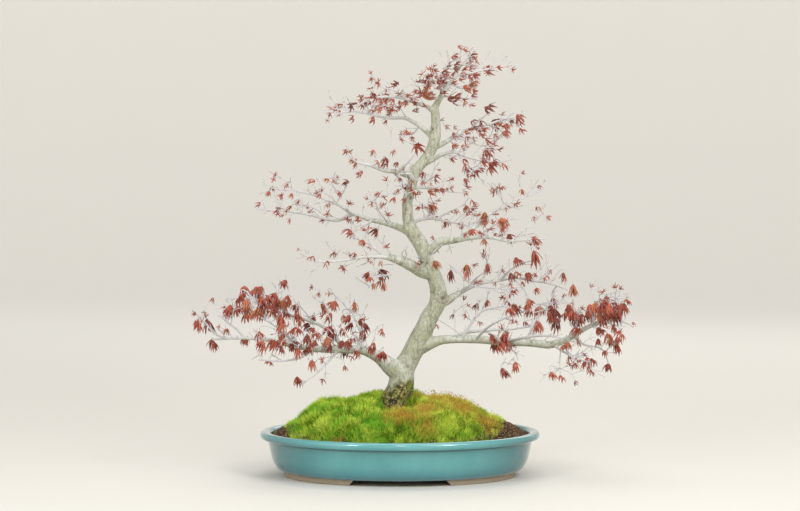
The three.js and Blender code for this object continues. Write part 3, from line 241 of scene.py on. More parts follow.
LIMBS["lower_right"] = {
    "droop": 0.85, "opening": 42, "spread": 40,
    "route": [
        (61, 3, 276, 9), (75, 8, 281, 7.5), (90, 20, 289, 5), (110, 40, 299, 4),
        (133, 62, 306, 3.2), (163, 84, 309, 2.6), (189, 100, 312, 2.2), (222, 114, 306, 1.9),
        (251, 124, 300, 1.5), (278, 132, 290, 1.1),
    ],
    "shoots": [
        [(113, 43, 301, 1.8), (122, 20, 315, 1.4), (137, -4, 329, 0.9)],
        [(163, 84, 309, 1.9), (182, 70, 328, 1.5), (201, 56, 339, 1.2), (220, 44, 344, 0.9)],
        [(100, 30, 295, 1.9), (112, -8, 305, 1.6), (142, -48, 305, 1.3), (179, -82, 304, 0.9)],
    ],
    "tufts": [
        (83, 318, 14, 29), (107, 326, 18, 32), (141, 331, 14, 24), (189, 343, 19, 21),
        (218, 348, 22, 35), (187, 323, 18, 13), (198, 307, 14, 14), (182, 297, 22, 16),
        (221, 295, 14, 18), (235, 316, 14, 14), (262, 318, 13, 21), (278, 297, 22, 26),
        (242, 326, 13, 14), (216, 321, 13, 13),
    ],
}
LIMBS["middle_left"] = {
    "droop": 0.8, "opening": 42, "spread": 34,
    "route": [
        (52, -1, 324, 11), (38, -10, 328, 10.5), (22, -24, 337, 9.6), (5, -40, 346, 8.2),
        (-13, -56, 353, 5.6), (-28, -68, 355, 3.4), (-55, -86, 356, 2.5), (-86, -104, 352, 2),
        (-116, -118, 350, 1.6), (-142, -128, 353, 1.1),
    ],
    "shoots": [
        [(-25, -66, 355, 2), (-47, -50, 373, 1.6), (-79, -34, 386, 1)],
        [(-11, -55, 353, 1.7), (-22, -72, 371, 1.4), (-38, -90, 387, 0.9)],
        [(-6, -50, 348, 1.7), (-16, -60, 329, 1.4), (-38, -76, 322, 1.2), (-50, -88, 307, 0.9)],
    ],
    "tufts": [
        (-142, 348, 14, 13), (-118, 340, 14, 14), (-107, 355, 14, 13), (-91, 332, 14, 14),
        (-75, 353, 14, 14), (-61, 374, 19, 13), (-32, 340, 13, 13), (-54, 319, 13, 21),
        (-30, 324, 32, 18), (-43, 303, 13, 16), (18, 316, 21, 16), (29, 340, 11, 14),
    ],
}
LIMBS["middle_right"] = {
    "droop": 0.7, "opening": 46, "spread": 34,
    "route": [
        (39, -3, 358, 9), (51, -6, 364, 8), (65, -16, 377, 7), (84, -28, 379, 5.2),
        (111, -48, 384, 3.6), (141, -68, 386, 3), (172, -84, 381, 2.4), (203, -96, 384, 1.8),
        (227, -104, 386, 1.2),
    ],
    "shoots": [
        [
            (92, -34, 380, 3.6), (112, -14, 395, 3.3), (131, 6, 407, 3), (150, 26, 424, 2.6),
            (173, 42, 431, 2.2), (198, 56, 444, 1.6), (233, 68, 457, 1),
        ],
        [(120, -54, 385, 1.8), (141, -84, 401, 1.4), (160, -108, 415, 0.9)],
        [(175, -86, 382, 1.5), (197, -92, 401, 1.2), (218, -96, 420, 0.9)],
    ],
    "tufts": [
        (117, 391, 21, 14), (138, 411, 19, 29), (165, 401, 18, 32), (136, 374, 13, 16),
        (154, 385, 13, 14), (178, 380, 19, 22), (173, 430, 14, 11), (194, 454, 16, 16),
        (224, 462, 13, 13), (165, 459, 13, 14), (221, 427, 13, 14), (216, 411, 13, 14),
        (238, 412, 13, 13), (149, 457, 13, 14), (59, 337, 18, 22), (59, 359, 8, 14),
    ],
}
LIMBS["upper_left"] = {
    "droop": 0.6, "opening": 50, "spread": 38,
    "route": [
        (18, -6, 390, 7.5), (3, 6, 397, 6), (-23, 24, 405, 4.6), (-52, 40, 411, 3.7),
        (-76, 54, 418, 3.2), (-101, 66, 408, 2.7), (-134, 80, 413, 2.2), (-164, 92, 419, 1.8),
        (-204, 104, 422, 1.4), (-237, 112, 425, 1),
    ],
    "shoots": [
        [
            (-78, 55, 417, 2.5), (-97, 40, 432, 2.1), (-119, 26, 442, 1.7), (-145, 14, 452, 1.4),
            (-176, 4, 458, 1.1), (-208, -4, 460, 0.9),
        ],
        [(-45, 37, 409, 2), (-64, 10, 397, 1.6), (-80, -14, 390, 1)],
        [(-16, 20, 403, 1.8), (-32, -4, 423, 1.4), (-41, -24, 446, 0.9)],
        [(-114, 72, 410, 1.6), (-148, 96, 430, 1.3), (-178, 118, 433, 0.9)],
    ],
    "tufts": [
        (-227, 435, 13, 13), (-206, 460, 13, 13), (-181, 465, 13, 13), (-192, 449, 13, 13),
        (-198, 423, 14, 14), (-178, 430, 13, 13), (-165, 439, 13, 13), (-150, 431, 13, 13),
        (-131, 449, 16, 13), (-141, 470, 16, 16), (-118, 473, 13, 13), (-99, 451, 18, 13),
        (-88, 467, 16, 18), (-125, 407, 10, 14), (-115, 433, 13, 13), (-82, 406, 10, 16),
        (-70, 412, 13, 16), (-83, 388, 24, 19), (-42, 391, 26, 18), (-179, 409, 11, 13),
        (-37, 451, 13, 14), (-48, 436, 13, 14), (-11, 441, 13, 16),
    ],
}
LIMBS["back"] = {
    "droop": 0.7, "opening": 48, "spread": 34,
    "route": [
        (14, -6, 402, 4.6), (25, 16, 408, 3.2), (49, 46, 412, 2.5), (82, 76, 405, 1.9),
        (115, 102, 397, 1.1),
    ],
    "shoots": [
        [(58, 54, 410, 1.7), (78, 80, 421, 1.3), (108, 104, 433, 0.9)],
        [(39, 36, 410, 1.6), (49, 64, 421, 1.3), (39, 90, 430, 0.8)],
    ],
    "tufts": [
        (72, 404, 16, 22), (96, 401, 11, 13), (106, 427, 13, 21), (91, 423, 13, 14),
        (117, 439, 14, 14), (51, 427, 18, 24), (29, 428, 13, 14), (59, 412, 11, 13),
    ],
}
LIMBS["upper_back"] = {
    "droop": 0.6, "opening": 52, "spread": 30,
    "route": [
        (18, -10, 459, 4.4), (27, 14, 462, 2.8), (47, 36, 461, 2.1), (71, 58, 456, 1.5),
        (108, 80, 452, 0.9),
    ],
    "shoots": [
        [(35, 24, 462, 1.5), (45, 48, 474, 1.2), (59, 66, 480, 0.8)],
    ],
    "tufts": [
        (50, 452, 18, 19), (38, 481, 19, 19), (61, 479, 13, 16), (70, 459, 14, 13),
        (106, 454, 14, 13), (6, 462, 10, 22),
    ],
}
LIMBS["high_left"] = {
    "droop": 0.55, "opening": 52, "spread": 30,
    "route": [
        (22, -10, 482, 7), (6, -16, 485, 5.4), (-8, -26, 489, 4.2), (-25, -40, 491, 3.3),
        (-47, -56, 499, 2.4), (-72, -72, 507, 1.7), (-85, -82, 522, 1),
    ],
    "shoots": [
        [(-3, -22, 489, 1.8), (13, -48, 504, 1.4), (28, -66, 523, 0.9)],
        [(-25, -40, 491, 1.7), (-35, -20, 507, 1.3), (-46, -4, 519, 0.9)],
    ],
    "tufts": [
        (-26, 502, 18, 24), (-46, 519, 16, 13), (-8, 500, 13, 14), (-11, 518, 13, 13),
        (-75, 503, 21, 18), (-66, 483, 10, 21), (-88, 519, 13, 13), (30, 523, 22, 29),
        (21, 540, 13, 14),
    ],
}
LIMBS["high_right"] = {
    "droop": 0.6, "opening": 52, "spread": 30,
    "route": [
        (32, -8, 498, 5.6), (51, -12, 507, 4.3), (67, -22, 516, 3.5), (84, -34, 520, 2.7),
        (104, -50, 513, 2.3), (129, -64, 507, 1.9), (151, -76, 504, 1.5), (175, -86, 509, 0.8),
    ],
    "shoots": [
        [(92, -40, 518, 1.7), (104, -54, 498, 1.4), (116, -66, 485, 0.9)],
        [(64, -20, 514, 1.5), (80, 8, 511, 1.2), (107, 34, 522, 0.8)],
    ],
    "tufts": [
        (88, 527, 14, 14), (102, 527, 13, 13), (85, 508, 10, 16), (144, 519, 22, 22),
        (150, 495, 26, 26), (134, 503, 19, 19), (114, 487, 26, 24), (106, 473, 16, 14),
        (125, 484, 14, 16),
    ],
}
LIMBS["top_right"] = {
    "droop": 0.5, "opening": 54, "spread": 30,
    "route": [
        (51, -5, 526, 5.6), (67, 6, 532, 4.2), (85, 20, 543, 3.5), (107, 34, 555, 2.8),
        (133, 48, 561, 2.2), (166, 60, 571, 1.6), (197, 70, 577, 0.9),
    ],
    "shoots": [
        [(85, 20, 543, 2), (104, 30, 539, 1.6), (136, 46, 529, 1.1), (172, 62, 548, 0.8)],
        [(113, 38, 556, 1.5), (132, 18, 574, 1.2), (144, 4, 583, 0.8)],
    ],
    "tufts": [
        (88, 547, 16, 13), (107, 550, 13, 13), (125, 553, 13, 13), (120, 540, 11, 13),
        (118, 566, 13, 13), (144, 587, 21, 22), (155, 564, 24, 24), (174, 550, 13, 18),
        (194, 571, 19, 27), (77, 559, 10, 14),
    ],
}
LIMBS["top_left"] = {
    "droop": 0.5, "opening": 54, "spread": 26,
    "route": [
        (55, -4, 540, 6), (45, 6, 550, 4.6), (29, 18, 563, 3.6), (8, 32, 574, 3),
        (-16, 46, 574, 2.4), (-41, 58, 578, 2), (-73, 70, 585, 1.6), (-114, 80, 579, 0.9),
    ],
    "shoots": [
        [(32, 16, 561, 1.6), (19, 36, 548, 1.3), (6, 56, 548, 0.9)],
    ],
    "tufts": [
        (-77, 574, 14, 14), (-45, 571, 18, 19), (-26, 567, 13, 14), (-8, 583, 13, 13),
        (-38, 590, 14, 13), (-99, 583, 14, 13), (8, 550, 18, 13),
    ],
}
LIMBS["crown_left"] = {
    "droop": 0.45, "opening": 56, "spread": 26,
    "route": [
        (56, -1, 582, 5), (45, -6, 591, 3.8), (25, -18, 598, 3.1), (6, -30, 605, 2.6),
        (-16, -42, 607, 2.1), (-44, -52, 605, 1.7), (-68, -60, 594, 1.3), (-101, -68, 589, 0.8),
    ],
    "shoots": [
        [(10, -28, 604, 1.6), (-6, -46, 615, 1.3), (-35, -62, 624, 0.9)],
        [(30, -15, 596, 1.5), (19, 6, 606, 1.2), (6, 24, 616, 0.8)],
    ],
    "tufts": [
        (-24, 607, 22, 18), (-43, 609, 19, 16), (-80, 590, 19, 11), (-96, 593, 13, 13),
        (-64, 606, 14, 14), (-37, 627, 13, 16), (-6, 627, 18, 14), (13, 609, 13, 13),
    ],
}
LIMBS["crown"] = {
    "droop": 0.25, "opening": 58, "spread": 26,
    "route": [
        (54, 0, 588, 6.2), (64, 2, 606, 4.6), (74, 6, 623, 3.4), (88, 8, 641, 2.6),
        (95, 8, 664, 1.8), (98, 6, 686, 0.9),
    ],
    "shoots": [
        [(62, 2, 603, 3), (48, -10, 610, 2.2), (40, -20, 618, 1.5), (43, -30, 631, 0.9)],
        [(66, 2, 609, 2.6), (65, -12, 622, 2), (59, -24, 644, 1.4), (49, -32, 659, 0.8)],
        [(88, 8, 641, 1.9), (113, 24, 646, 1.5), (137, 38, 652, 1.2), (162, 50, 657, 0.8)],
        [(90, 8, 646, 1.7), (105, -12, 666, 1.3), (119, -28, 682, 0.8)],
        [(66, 2, 609, 2), (89, -18, 607, 1.6), (117, -36, 604, 0.9)],
        [(79, 7, 629, 1.7), (100, 34, 622, 1.3), (120, 56, 629, 0.8)],
    ],
    "tufts": [
        (98, 688, 10, 14), (88, 671, 22, 14), (120, 671, 14, 29), (122, 643, 11, 13),
        (160, 655, 14, 13), (141, 651, 19, 24), (74, 647, 19, 18), (42, 633, 24, 16),
        (43, 612, 29, 19), (118, 625, 19, 19), (90, 603, 21, 32), (69, 628, 11, 11),
        (106, 684, 13, 13), (56, 657, 13, 13), (104, 606, 14, 14),
    ],
}

# The rules by which the part's solids place tufts and twigs, so that the two agree.
EYE_DISTANCE = 3870.0
EYE_HEIGHT = 552.0
CROWN_X = 25.0
DEPTH_LIMIT = 150.0
DEPTH_DRAWS = 24
TIP_RADIUS = 0.75
LEAF_LEAST = 11.0
LEAF_MOST = 22.0
TUFT_REACH = 0.66  # a tuft's radius to its leaves' length
HUB_SHARE = 0.4
SMALLEST_TUFT = 15.0
SHORT_TWIG = 17.0
LONG_TWIG = 44.0
TWIG_SPACING = 12.0
PROBE_SPACING = 4.0
TWIG_TRIES = 14
TURN_COST = 26.0
NEAR_GAP = 7.0
NEAR_COST = 30.0
CLEAR = 1.6
LIMB_STUB = 3.0
# The passes that place the tufts, as (which, seed, how clear of their own limb, how far forward).
TUFT_PASSES = [("main", 11, 0.8, 0), ("extra", 211, 0.5, 0), ("close", 411, 0.1, 0.35)]

# Bare twigs end within these.
TREE_LEFT = -334.0
TREE_RIGHT = 366.0
TREE_TOP = 690.0
SPRIG_STEP = 2.6
FIRST_NODE, NODE_GAP = 2, 4  # where a bare twig swells, in steps from its start
FORKED_SPRIG = 20.0  # longer ones have side twigs

# Old cuts healed over on the trunk, as (x, z, half width, half height).
WOUNDS = [(31, 343, 9, 5.5), (69, 286, 7, 6), (17, 446, 4, 5), (52, 556, 3.6, 4)]
# The top of the rough bark at the foot, and how softly it ends.
CRUST_TOP = 150.0
CRUST_EDGE = 10.0
TRUNK_VOXEL = 1.3
LIMB_VOXEL = 0.85
SKIN_LEAST = 1.7  # the radius under which a limb stays a plain tube

# Where leaves hang in masses beyond the tufts above, as (x, z, half width, half height,
# number of tufts, their size) in the front view.
MASSES = {
    "crown": [(58, 630, 30, 20, 13, 15), (98, 642, 32, 22, 19, 15), (112, 606, 26, 14, 4, 14)],
    "crown_left": [(16, 594, 24, 14, 6, 15)],
    "top_left": [(-40, 594, 38, 14, 12, 14)],
    "top_right": [
        (148, 552, 32, 18, 10, 15), (190, 562, 20, 14, 5, 15), (104, 552, 24, 14, 3, 13),
    ],
    "high_right": [(146, 500, 24, 18, 7, 15), (98, 504, 18, 12, 3, 13)],
    "high_left": [(-54, 500, 30, 14, 2, 13), (12, 460, 24, 18, 8, 14)],
    "upper_back": [(52, 470, 20, 16, 3, 15)],
    "middle_left": [(-36, 310, 20, 10, 3, 16)],
    "middle_right": [(196, 372, 34, 12, 1, 17)],
    "upper_left": [(-190, 445, 34, 14, 2, 12)],
    "back": [(150, 396, 24, 14, 1, 14)],
    "low_left": [
        (-232, 268, 44, 20, 10, 22), (-190, 270, 28, 18, 8, 22), (-130, 214, 50, 14, 6, 20),
        (-148, 246, 22, 18, 3, 20), (-232, 294, 24, 10, 3, 20), (-74, 226, 40, 14, 5, 18),
        (-96, 248, 30, 14, 3, 20), (-150, 204, 60, 9, 8, 18), (-62, 204, 46, 9, 3, 17),
        (-206, 218, 44, 12, 5, 20),
    ],
    "low_right": [
        (334, 264, 26, 18, 14, 24), (306, 228, 28, 14, 2, 20), (266, 256, 36, 14, 7, 22),
        (160, 214, 22, 12, 4, 22), (344, 214, 18, 14, 4, 20), (296, 172, 26, 12, 4, 17),
    ],
    "lower_right": [
        (196, 268, 30, 14, 6, 18), (240, 262, 26, 14, 4, 20), (196, 314, 20, 14, 2, 20),
    ],
}

# Thin twigs that cross in front of the trunk, as (x, y, z, radius).
LOOSE_TWIGS = [
    [(2, -17, 494, 0.9), (8, -20, 488, 0.9), (11, -21, 475, 0.85), (15, -21, 464, 0.8),
     (22, -20, 459, 0.7), (31, -18, 459, 0.55)],
    [(13, -18, 452, 0.9), (4, -24, 456, 0.8), (-7, -28, 452, 0.7), (-15, -33, 458, 0.5)],
    [(8, -18, 352, 1.0), (3, -24, 357, 0.9), (6, -28, 363, 0.7), (11, -30, 359, 0.5)],
]

# Seeds, so that every run grows the same tree.
GRAIN_SEED = 21
MOSS_SEEDS = {"left": 31, "right": 32}
MASS_SEED = 7
SPRIG_SEED = 101
LEAF_SEED = 55
GOLDEN_ANGLE = 2.4


# ---- Shared tools ----


def linear(red, green, blue):
    """A colour given in the usual 0 to 255 steps, as the renderer's linear one."""
    shares = [value / 255 for value in (red, green, blue)]
    return [s / 12.92 if s <= 0.04045 else ((s + 0.055) / 1.055) ** 2.4 for s in shares]


def tone(name, description, red, green, blue):
    """A colour that the user can change."""
    return FloatVectorProperty(
        name=name, description=description, default=linear(red, green, blue),
        subtype="COLOR", min=0.0, max=1.0,
    )


def span(name, description, millimetres):
    """A length that the user can change."""
    return FloatProperty(
        name=name, description=description, default=millimetres * MM, unit="LENGTH", min=0.0,
    )


def deselect_all():
    """Leaves nothing selected, the frame's nodes included."""
    bpy.ops.object.select_all(action="DESELECT")


def activate(piece):
    """Makes a piece the only selected one, and the active one."""
    deselect_all()
    piece.select_set(True)
    bpy.context.view_layer.objects.active = piece


def edit(piece, select="SELECT"):
    """Opens a piece in edit mode, with all of it selected or nothing."""
    activate(piece)
    bpy.ops.object.mode_set(mode="EDIT")
    bpy.ops.mesh.select_all(action=select)


def close_edit():
    bpy.ops.object.mode_set(mode="OBJECT")


def apply_place(piece):
    """Moves a piece's place, turn and scale into its mesh."""
    activate(piece)
    bpy.ops.object.transform_apply(location=True, rotation=True, scale=True)


def apply_modifier(piece, kind, **settings):
    """Adds a modifier with these settings and applies it."""
    activate(piece)
    modifier = piece.modifiers.new(kind.title(), kind)
    for name, value in settings.items():
        setattr(modifier, name, value)
    bpy.ops.object.modifier_apply(modifier=modifier.name)


def join(pieces):
    """Joins pieces into the first of them."""
    activate(pieces[0])
    for piece in pieces:
        piece.select_set(True)
    bpy.ops.object.join()
    return pieces[0]


def corners(piece, what="co"):
    """A piece's corners in metres, or their normals, as an array."""
    flat = np.empty(len(piece.data.vertices) * 3, np.float32)
    piece.data.vertices.foreach_get(what, flat)
    return flat.reshape(-1, 3).astype(float)


def set_corners(piece, points):
    piece.data.vertices.foreach_set("co", np.asarray(points, np.float32).ravel())
    piece.data.update()


def set_values(piece, name, values):
    """Keeps one number for each corner, which a material reads by its name."""
    attribute = piece.data.attributes.new(name, "FLOAT", "POINT")
    attribute.data.foreach_set("value", np.asarray(values, np.float32))


def smooth_shading(piece):
    piece.data.polygons.foreach_set("use_smooth", [True] * len(piece.data.polygons))
    piece.data.update()


def take_apart(piece):
    """The corners and faces of a piece, which is then removed."""
    points = corners(piece)
    faces = [list(face.vertices) for face in piece.data.polygons]
    bpy.data.objects.remove(piece)
    return points, faces


def draw_up(rise, scale, centre):
    """Extrudes the selected edges upwards, and scales the new ones about a point."""
    bpy.ops.mesh.extrude_edges_move(TRANSFORM_OT_translate={"value": (0, 0, rise)})
    bpy.ops.transform.resize(value=(*scale, 1), center_override=centre)


def cover(piece, material):
    """Gives a piece this one material."""
    piece.data.materials.clear()
    piece.data.materials.append(material)


def give(piece, material, slot, *nodes):
    """Paints a finished piece, hangs it on the frame's root, and hides the frame's nodes that it
    replaces.
    """
    cover(piece, material)
    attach(piece, "root")
    if nodes:
        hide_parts(*nodes)


def on_plan(x, y):
    """Points of the plan, as the noise takes them."""
    return np.stack([x, y, np.zeros_like(x)], 1)


def rough(points, size, detail, seed):
    """Soft noise from about -1 to 1 at each point, with lumps of the given size."""
    total = np.zeros(len(points))
    for level in range(detail):
        scaled = points * (2**level / size) + seed + 17.3 * level
        total += np.array([noise.noise(p) for p in scaled]) / 2**level
    return total


class Shape:
    """Corners, faces and values for each corner, gathered to become one mesh."""

    def __init__(self, *value_names):
        self.points = []
        self.faces = []
        self.values = {name: [] for name in value_names}
        self.count = 0

    def add(self, points, faces, **values):
        """Adds a part, each of its faces a list of corner numbers."""
        self.points.append(np.asarray(points, float))
        for face in faces:
            self.faces.append([self.count + corner for corner in face])
        for name, kept in self.values.items():
            kept.append(np.broadcast_to(values.get(name, 0.0), len(points)))
        self.count += len(points)

    def piece(self, name):
        """The mesh object. Millimetres from the pot's middle become metres in the frame."""
        mesh = bpy.data.meshes.new(name)
        points = (np.concatenate(self.points) + (POT_X, 0, 0)) * MM
        mesh.from_pydata(points.tolist(), [], self.faces)
        piece = bpy.data.objects.new(name, mesh)
        bpy.context.scene.collection.objects.link(piece)
        for value_name, kept in self.values.items():
            set_values(piece, value_name, np.concatenate(kept))
        return piece


# ---- Materials ----


class Signal:
    """An output socket of a material. Sums on it add the Math nodes."""

    def __init__(self, paint, socket):
        self.paint = paint
        self.socket = socket

    def __add__(self, other):
        return self.paint.sum("ADD", self, other)

    __radd__ = __add__

    def __sub__(self, other):
        return self.paint.sum("SUBTRACT", self, other)

    def __rsub__(self, other):
        return self.paint.sum("SUBTRACT", other, self)

    def __mul__(self, other):
        return self.paint.sum("MULTIPLY", self, other)

    __rmul__ = __mul__

    def __pow__(self, other):
        return self.paint.sum("POWER", self, other)

    def above(self, low, high):
        """0 below low, 1 above high, and a soft step between."""
        return self.paint.node(
            "ShaderNodeMapRange", {"interpolation_type": "SMOOTHSTEP"},
            {"Value": self, "From Min": low, "From Max": high},
        )


class Paint:
    """One material under construction."""

    def __init__(self, name):
        self.material = bpy.data.materials.new(name)
        self.material.use_nodes = True
        self.tree = self.material.node_tree
        self.tree.nodes.clear()

    def node(self, kind, settings=None, sockets=None, output=0):
        """Adds a node: its settings first, then the values or links of its sockets."""
        node = self.tree.nodes.new(kind)
        for name, value in (settings or {}).items():
            if name == "stops":
                ramp = node.color_ramp
                while len(ramp.elements) < len(value):
                    ramp.elements.new(0.5)
                for element, (position, colour) in zip(ramp.elements, value):
                    element.position = position
                    element.color = (*colour, 1.0)
            else:
                setattr(node, name, value)
        for name, value in (sockets or {}).items():
            socket = node.inputs[name]
            if isinstance(value, Signal):
                self.tree.links.new(value.socket, socket)
            elif socket.type == "RGBA":
                socket.default_value = (*tuple(value)[:3], 1.0)
            else:
                socket.default_value = value
        return Signal(self, node.outputs[output]) if node.outputs else None

    def sum(self, operation, *terms):
        return self.node("ShaderNodeMath", {"operation": operation}, dict(enumerate(terms)))

    def place(self, stretch=(1, 1, 1)):
        """Object coordinates in metres, stretched along each axis."""
        where = self.node("ShaderNodeTexCoord", output="Object")
        return self.node("ShaderNodeMapping", {}, {"Vector": where, "Scale": stretch})

    def axis(self, letter):
        where = self.node("ShaderNodeTexCoord", output="Object")
        return self.node("ShaderNodeSeparateXYZ", {}, {"Vector": where}, letter)

    def value(self, name):
        return self.node("ShaderNodeAttribute", {"attribute_name": name}, output="Fac")

    def cloud(self, size, detail=3, roughness=0.55, stretch=(1, 1, 1)):
        """Noise from 0 to 1 whose lumps are about size metres."""
        return self.node(
            "ShaderNodeTexNoise", {},
            {"Vector": self.place(stretch), "Scale": 1 / size, "Detail": detail,
             "Roughness": roughness},
        )

    def cells(self, size, stretch=(1, 1, 1)):
        """The distance to the nearest of scattered points about size metres apart."""
        return self.node(
            "ShaderNodeTexVoronoi", {}, {"Vector": self.place(stretch), "Scale": 1 / size},
            "Distance",
        )

    def mix(self, share, first, second):
        """A colour between two others."""
        return self.node(
            "ShaderNodeMix", {"data_type": "RGBA"}, {0: share, 6: first, 7: second}, 2,
        )

    def ramp(self, share, *stops):
        """A colour read off a row of (position, colour) stops."""
        return self.node("ShaderNodeValToRGB", {"stops": stops}, {"Fac": share})

    def bump(self, height, distance, strength):
        """The surface turned as if it rose by height times distance metres."""
        return self.node(
            "ShaderNodeBump", {}, {"Height": height, "Distance": distance, "Strength": strength},
        )

    def finish(self, **sockets):
        """Closes the material with its shader."""
        named = {name.replace("_", " "): value for name, value in sockets.items()}
        shader = self.node("ShaderNodeBsdfPrincipled", {}, named)
        self.node("ShaderNodeOutputMaterial", {}, {"Surface": shader})
        return self.material


# ---- Sizes and colours that the user can change ----


class PotSettings(PropertyGroup):
    """The pot's glaze and clay."""

    glaze: tone("Glaze", "The glaze on the bowl", 72, 146, 148)
    glaze_thin: tone("Thin glaze", "The glaze where it is thin, on the lip", 120, 186, 186)
    # The deep glaze colour also paints shade: under the lip, towards the bottom of the bowl and at
    # its ends.
    glaze_deep_and_shade: tone("Deep glaze", "The glaze where it pools, under the lip", 6, 82, 90)
    clay: tone("Clay", "The bare clay of the feet", 170, 155, 134)


class GroundSettings(PropertyGroup):
    """The soil and the moss."""

    soil: tone("Soil", "The darker grains of the soil", 68, 50, 34)
    soil_pale: tone("Pale soil", "The paler grains of the soil", 156, 124, 92)
    # The deep moss colour is painted shade between the cushions and at the blades' roots.
    moss_deep: tone("Deep moss", "The moss between its cushions", 54, 86, 12)
    moss_green: tone("Green moss", "The moss's usual green", 156, 196, 42)
    moss_bright: tone("Bright moss", "The moss's lit tips", 230, 244, 100)
    moss_rust: tone("Russet moss", "The moss's ripe stalks", 228, 164, 80)
    blade: span("Moss blade", "The length of one moss blade", 11.0)
    blades: IntProperty(
        name="Moss blades", description="Moss blades on each pad", default=40000, min=0,
    )
    stalks: IntProperty(
        name="Moss stalks", description="Ripe moss stalks on both pads", default=1500, min=0,
    )
    grains: IntProperty(
        name="Soil grains", description="Loose grains round the moss", default=5200, min=0,
    )


class TreeSettings(PropertyGroup):
    """The tree's bark, twigs and leaves."""

    bark: tone("Bark", "The bark's usual grey-green", 174, 175, 152)
    # The pale bark colour is painted light on the wood's upper and right sides, and the limbs'
    # paler tone.
    bark_lit_and_pale: tone("Pale bark", "The bark where light bleaches it", 226, 230, 224)
    bark_dark: tone("Dark bark", "The bark in creases", 96, 94, 74)
    foot: tone("Foot bark", "The rough bark at the foot", 150, 136, 78)
    lichen: tone("Lichen", "The pale spots on the foot", 202, 200, 160)
    twig: tone("Twigs", "The young twigs", 206, 203, 210)
    twig_ripe: tone("Red twigs", "The twigs' tips and the leaf stalks", 128, 66, 56)
    leaf: tone("Leaves", "The leaves' usual red", 174, 84, 63)
    # The dark leaf colour also paints the shade towards the lobes' edges.
    leaf_dark_and_shade: tone("Dark leaves", "The darkest leaves", 112, 54, 43)
    leaf_warm: tone("Warm leaves", "The leaves that turn to orange-brown", 194, 126, 82)
    bare_twigs: FloatProperty(
        name="Bare twigs", description="Bare twigs for each 100 mm of limb", default=11.0, min=0.0,
    )


class StageSettings(PropertyGroup):
    """The floor, the lights and the camera."""

    floor: tone("Floor", "The floor and its rim", 232, 229, 222)
    camera_distance: span("Camera distance", "From the trunk to the camera", EYE_DISTANCE)
    camera_height: span("Camera height", "The camera over the floor", EYE_HEIGHT)


# ---- Finishes ----

# The heights between which the pot's glaze and its painted shade change, in metres.
GLAZE_START = (0.0082, 0.0092)
BOTTOM_SHADE = (0.009, 0.022)
LOW_WALL = (0.012, 0.036)
SHADE_UNDER_LIP = (0.0552, 0.0592)
LIP_START = (0.0600, 0.0620)
LIP = (0.062, 0.0715)


def glaze_finish(s):
    """Blue-green glaze: thin and pale on the lip, none on the feet, with painted shade under the
    lip, low down and at the ends.
    """
    paint = Paint("glaze")
    height = paint.axis("Z")
    drift = paint.cloud(0.05, 4, stretch=(1, 1, 0.5))
    speck = paint.cloud(0.004, 2)
    body = paint.mix(drift.above(0.3, 0.75) * 0.3, s.glaze, s.glaze_thin)
    # Painted shade: a dark band under the lip's overhang.
    painted_shade_under_lip = height.above(*SHADE_UNDER_LIP) * (1 - height.above(*LIP_START))
    body = paint.mix(painted_shade_under_lip * 0.95, body, s.glaze_deep_and_shade)
    # Painted shade: the glaze darkens towards the bottom of the bowl.
    painted_bottom_shade = 1 - height.above(*BOTTOM_SHADE)
    body = paint.mix(painted_bottom_shade * 0.4, body, s.glaze_deep_and_shade)
    low = 1 - height.above(*LOW_WALL)
    body = paint.mix(low * 0.35, body, linear(62, 112, 142))
    # Painted shade: the glaze darkens towards the pot's two ends.
    centred = paint.axis("X") - POT_X * MM
    ends = (centred * centred).above(0.006, 0.046)
    body = paint.mix(ends * 0.82, body, s.glaze_deep_and_shade)
    lip = height.above(*LIP)
    body = paint.mix(lip * 0.45, body, s.glaze_thin)
    body = paint.mix(speck.above(0.62, 0.8) * 0.12, body, s.glaze_deep_and_shade)
    grain = paint.cloud(0.0016, 2)
    clay = paint.mix(grain.above(0.35, 0.7) * 0.5, s.clay, linear(132, 116, 98))
    edge = height + (paint.cloud(0.012, 2) - 0.5) * 0.0012
    bare = 1 - edge.above(*GLAZE_START)
    ripple = paint.bump(drift + grain * bare * 0.6, 0.0009, 0.35)
    return paint.finish(
        Base_Color=paint.mix(bare, body, clay),
        Roughness=0.11 + bare * 0.6 + speck * 0.05,
        Coat_Weight=(1 - bare) * 0.9,
        Coat_Roughness=0.05,
        Normal=ripple,
    )


def screen_finish():
    """Dull dark plastic."""
    paint = Paint("screen")
    grain = paint.cloud(0.0008, 2)
    return paint.finish(
        Base_Color=paint.mix(grain, linear(34, 36, 35), linear(58, 60, 58)),
        Roughness=0.5 + grain * 0.2,
        Normal=paint.bump(grain, 0.0002, 0.4),
    )


def soil_finish(s):
    """Damp soil in small lumps, darkened between them by painted shade."""
    paint = Paint("soil")
    lump = paint.cells(0.0022)
    shade = paint.cloud(0.006, 4)
    colour = paint.mix(shade.above(0.35, 0.7), s.soil, s.soil_pale)
    # Painted shade: dark gaps between the lumps.
    return paint.finish(
        Base_Color=paint.mix(lump.above(0.3, 0.75), colour, linear(34, 24, 16)),
        Roughness=0.95,
        Normal=paint.bump(1 - lump, 0.0012, 0.8),
    )


def grain_finish(s):
    """Loose grains, each with its own shade."""
    paint = Paint("soil_grain")
    shade = paint.value("shade")
    grit = paint.cloud(0.0007, 2)
    colour = paint.ramp(
        shade, (0.0, tuple(s.soil)), (0.45, linear(98, 62, 38)), (0.75, tuple(s.soil_pale)),
        (1.0, linear(176, 158, 128)),
    )
    return paint.finish(
        Base_Color=paint.mix(grit * 0.5, colour, s.soil),
        Roughness=0.92,
        Normal=paint.bump(grit, 0.0003, 0.6),
    )


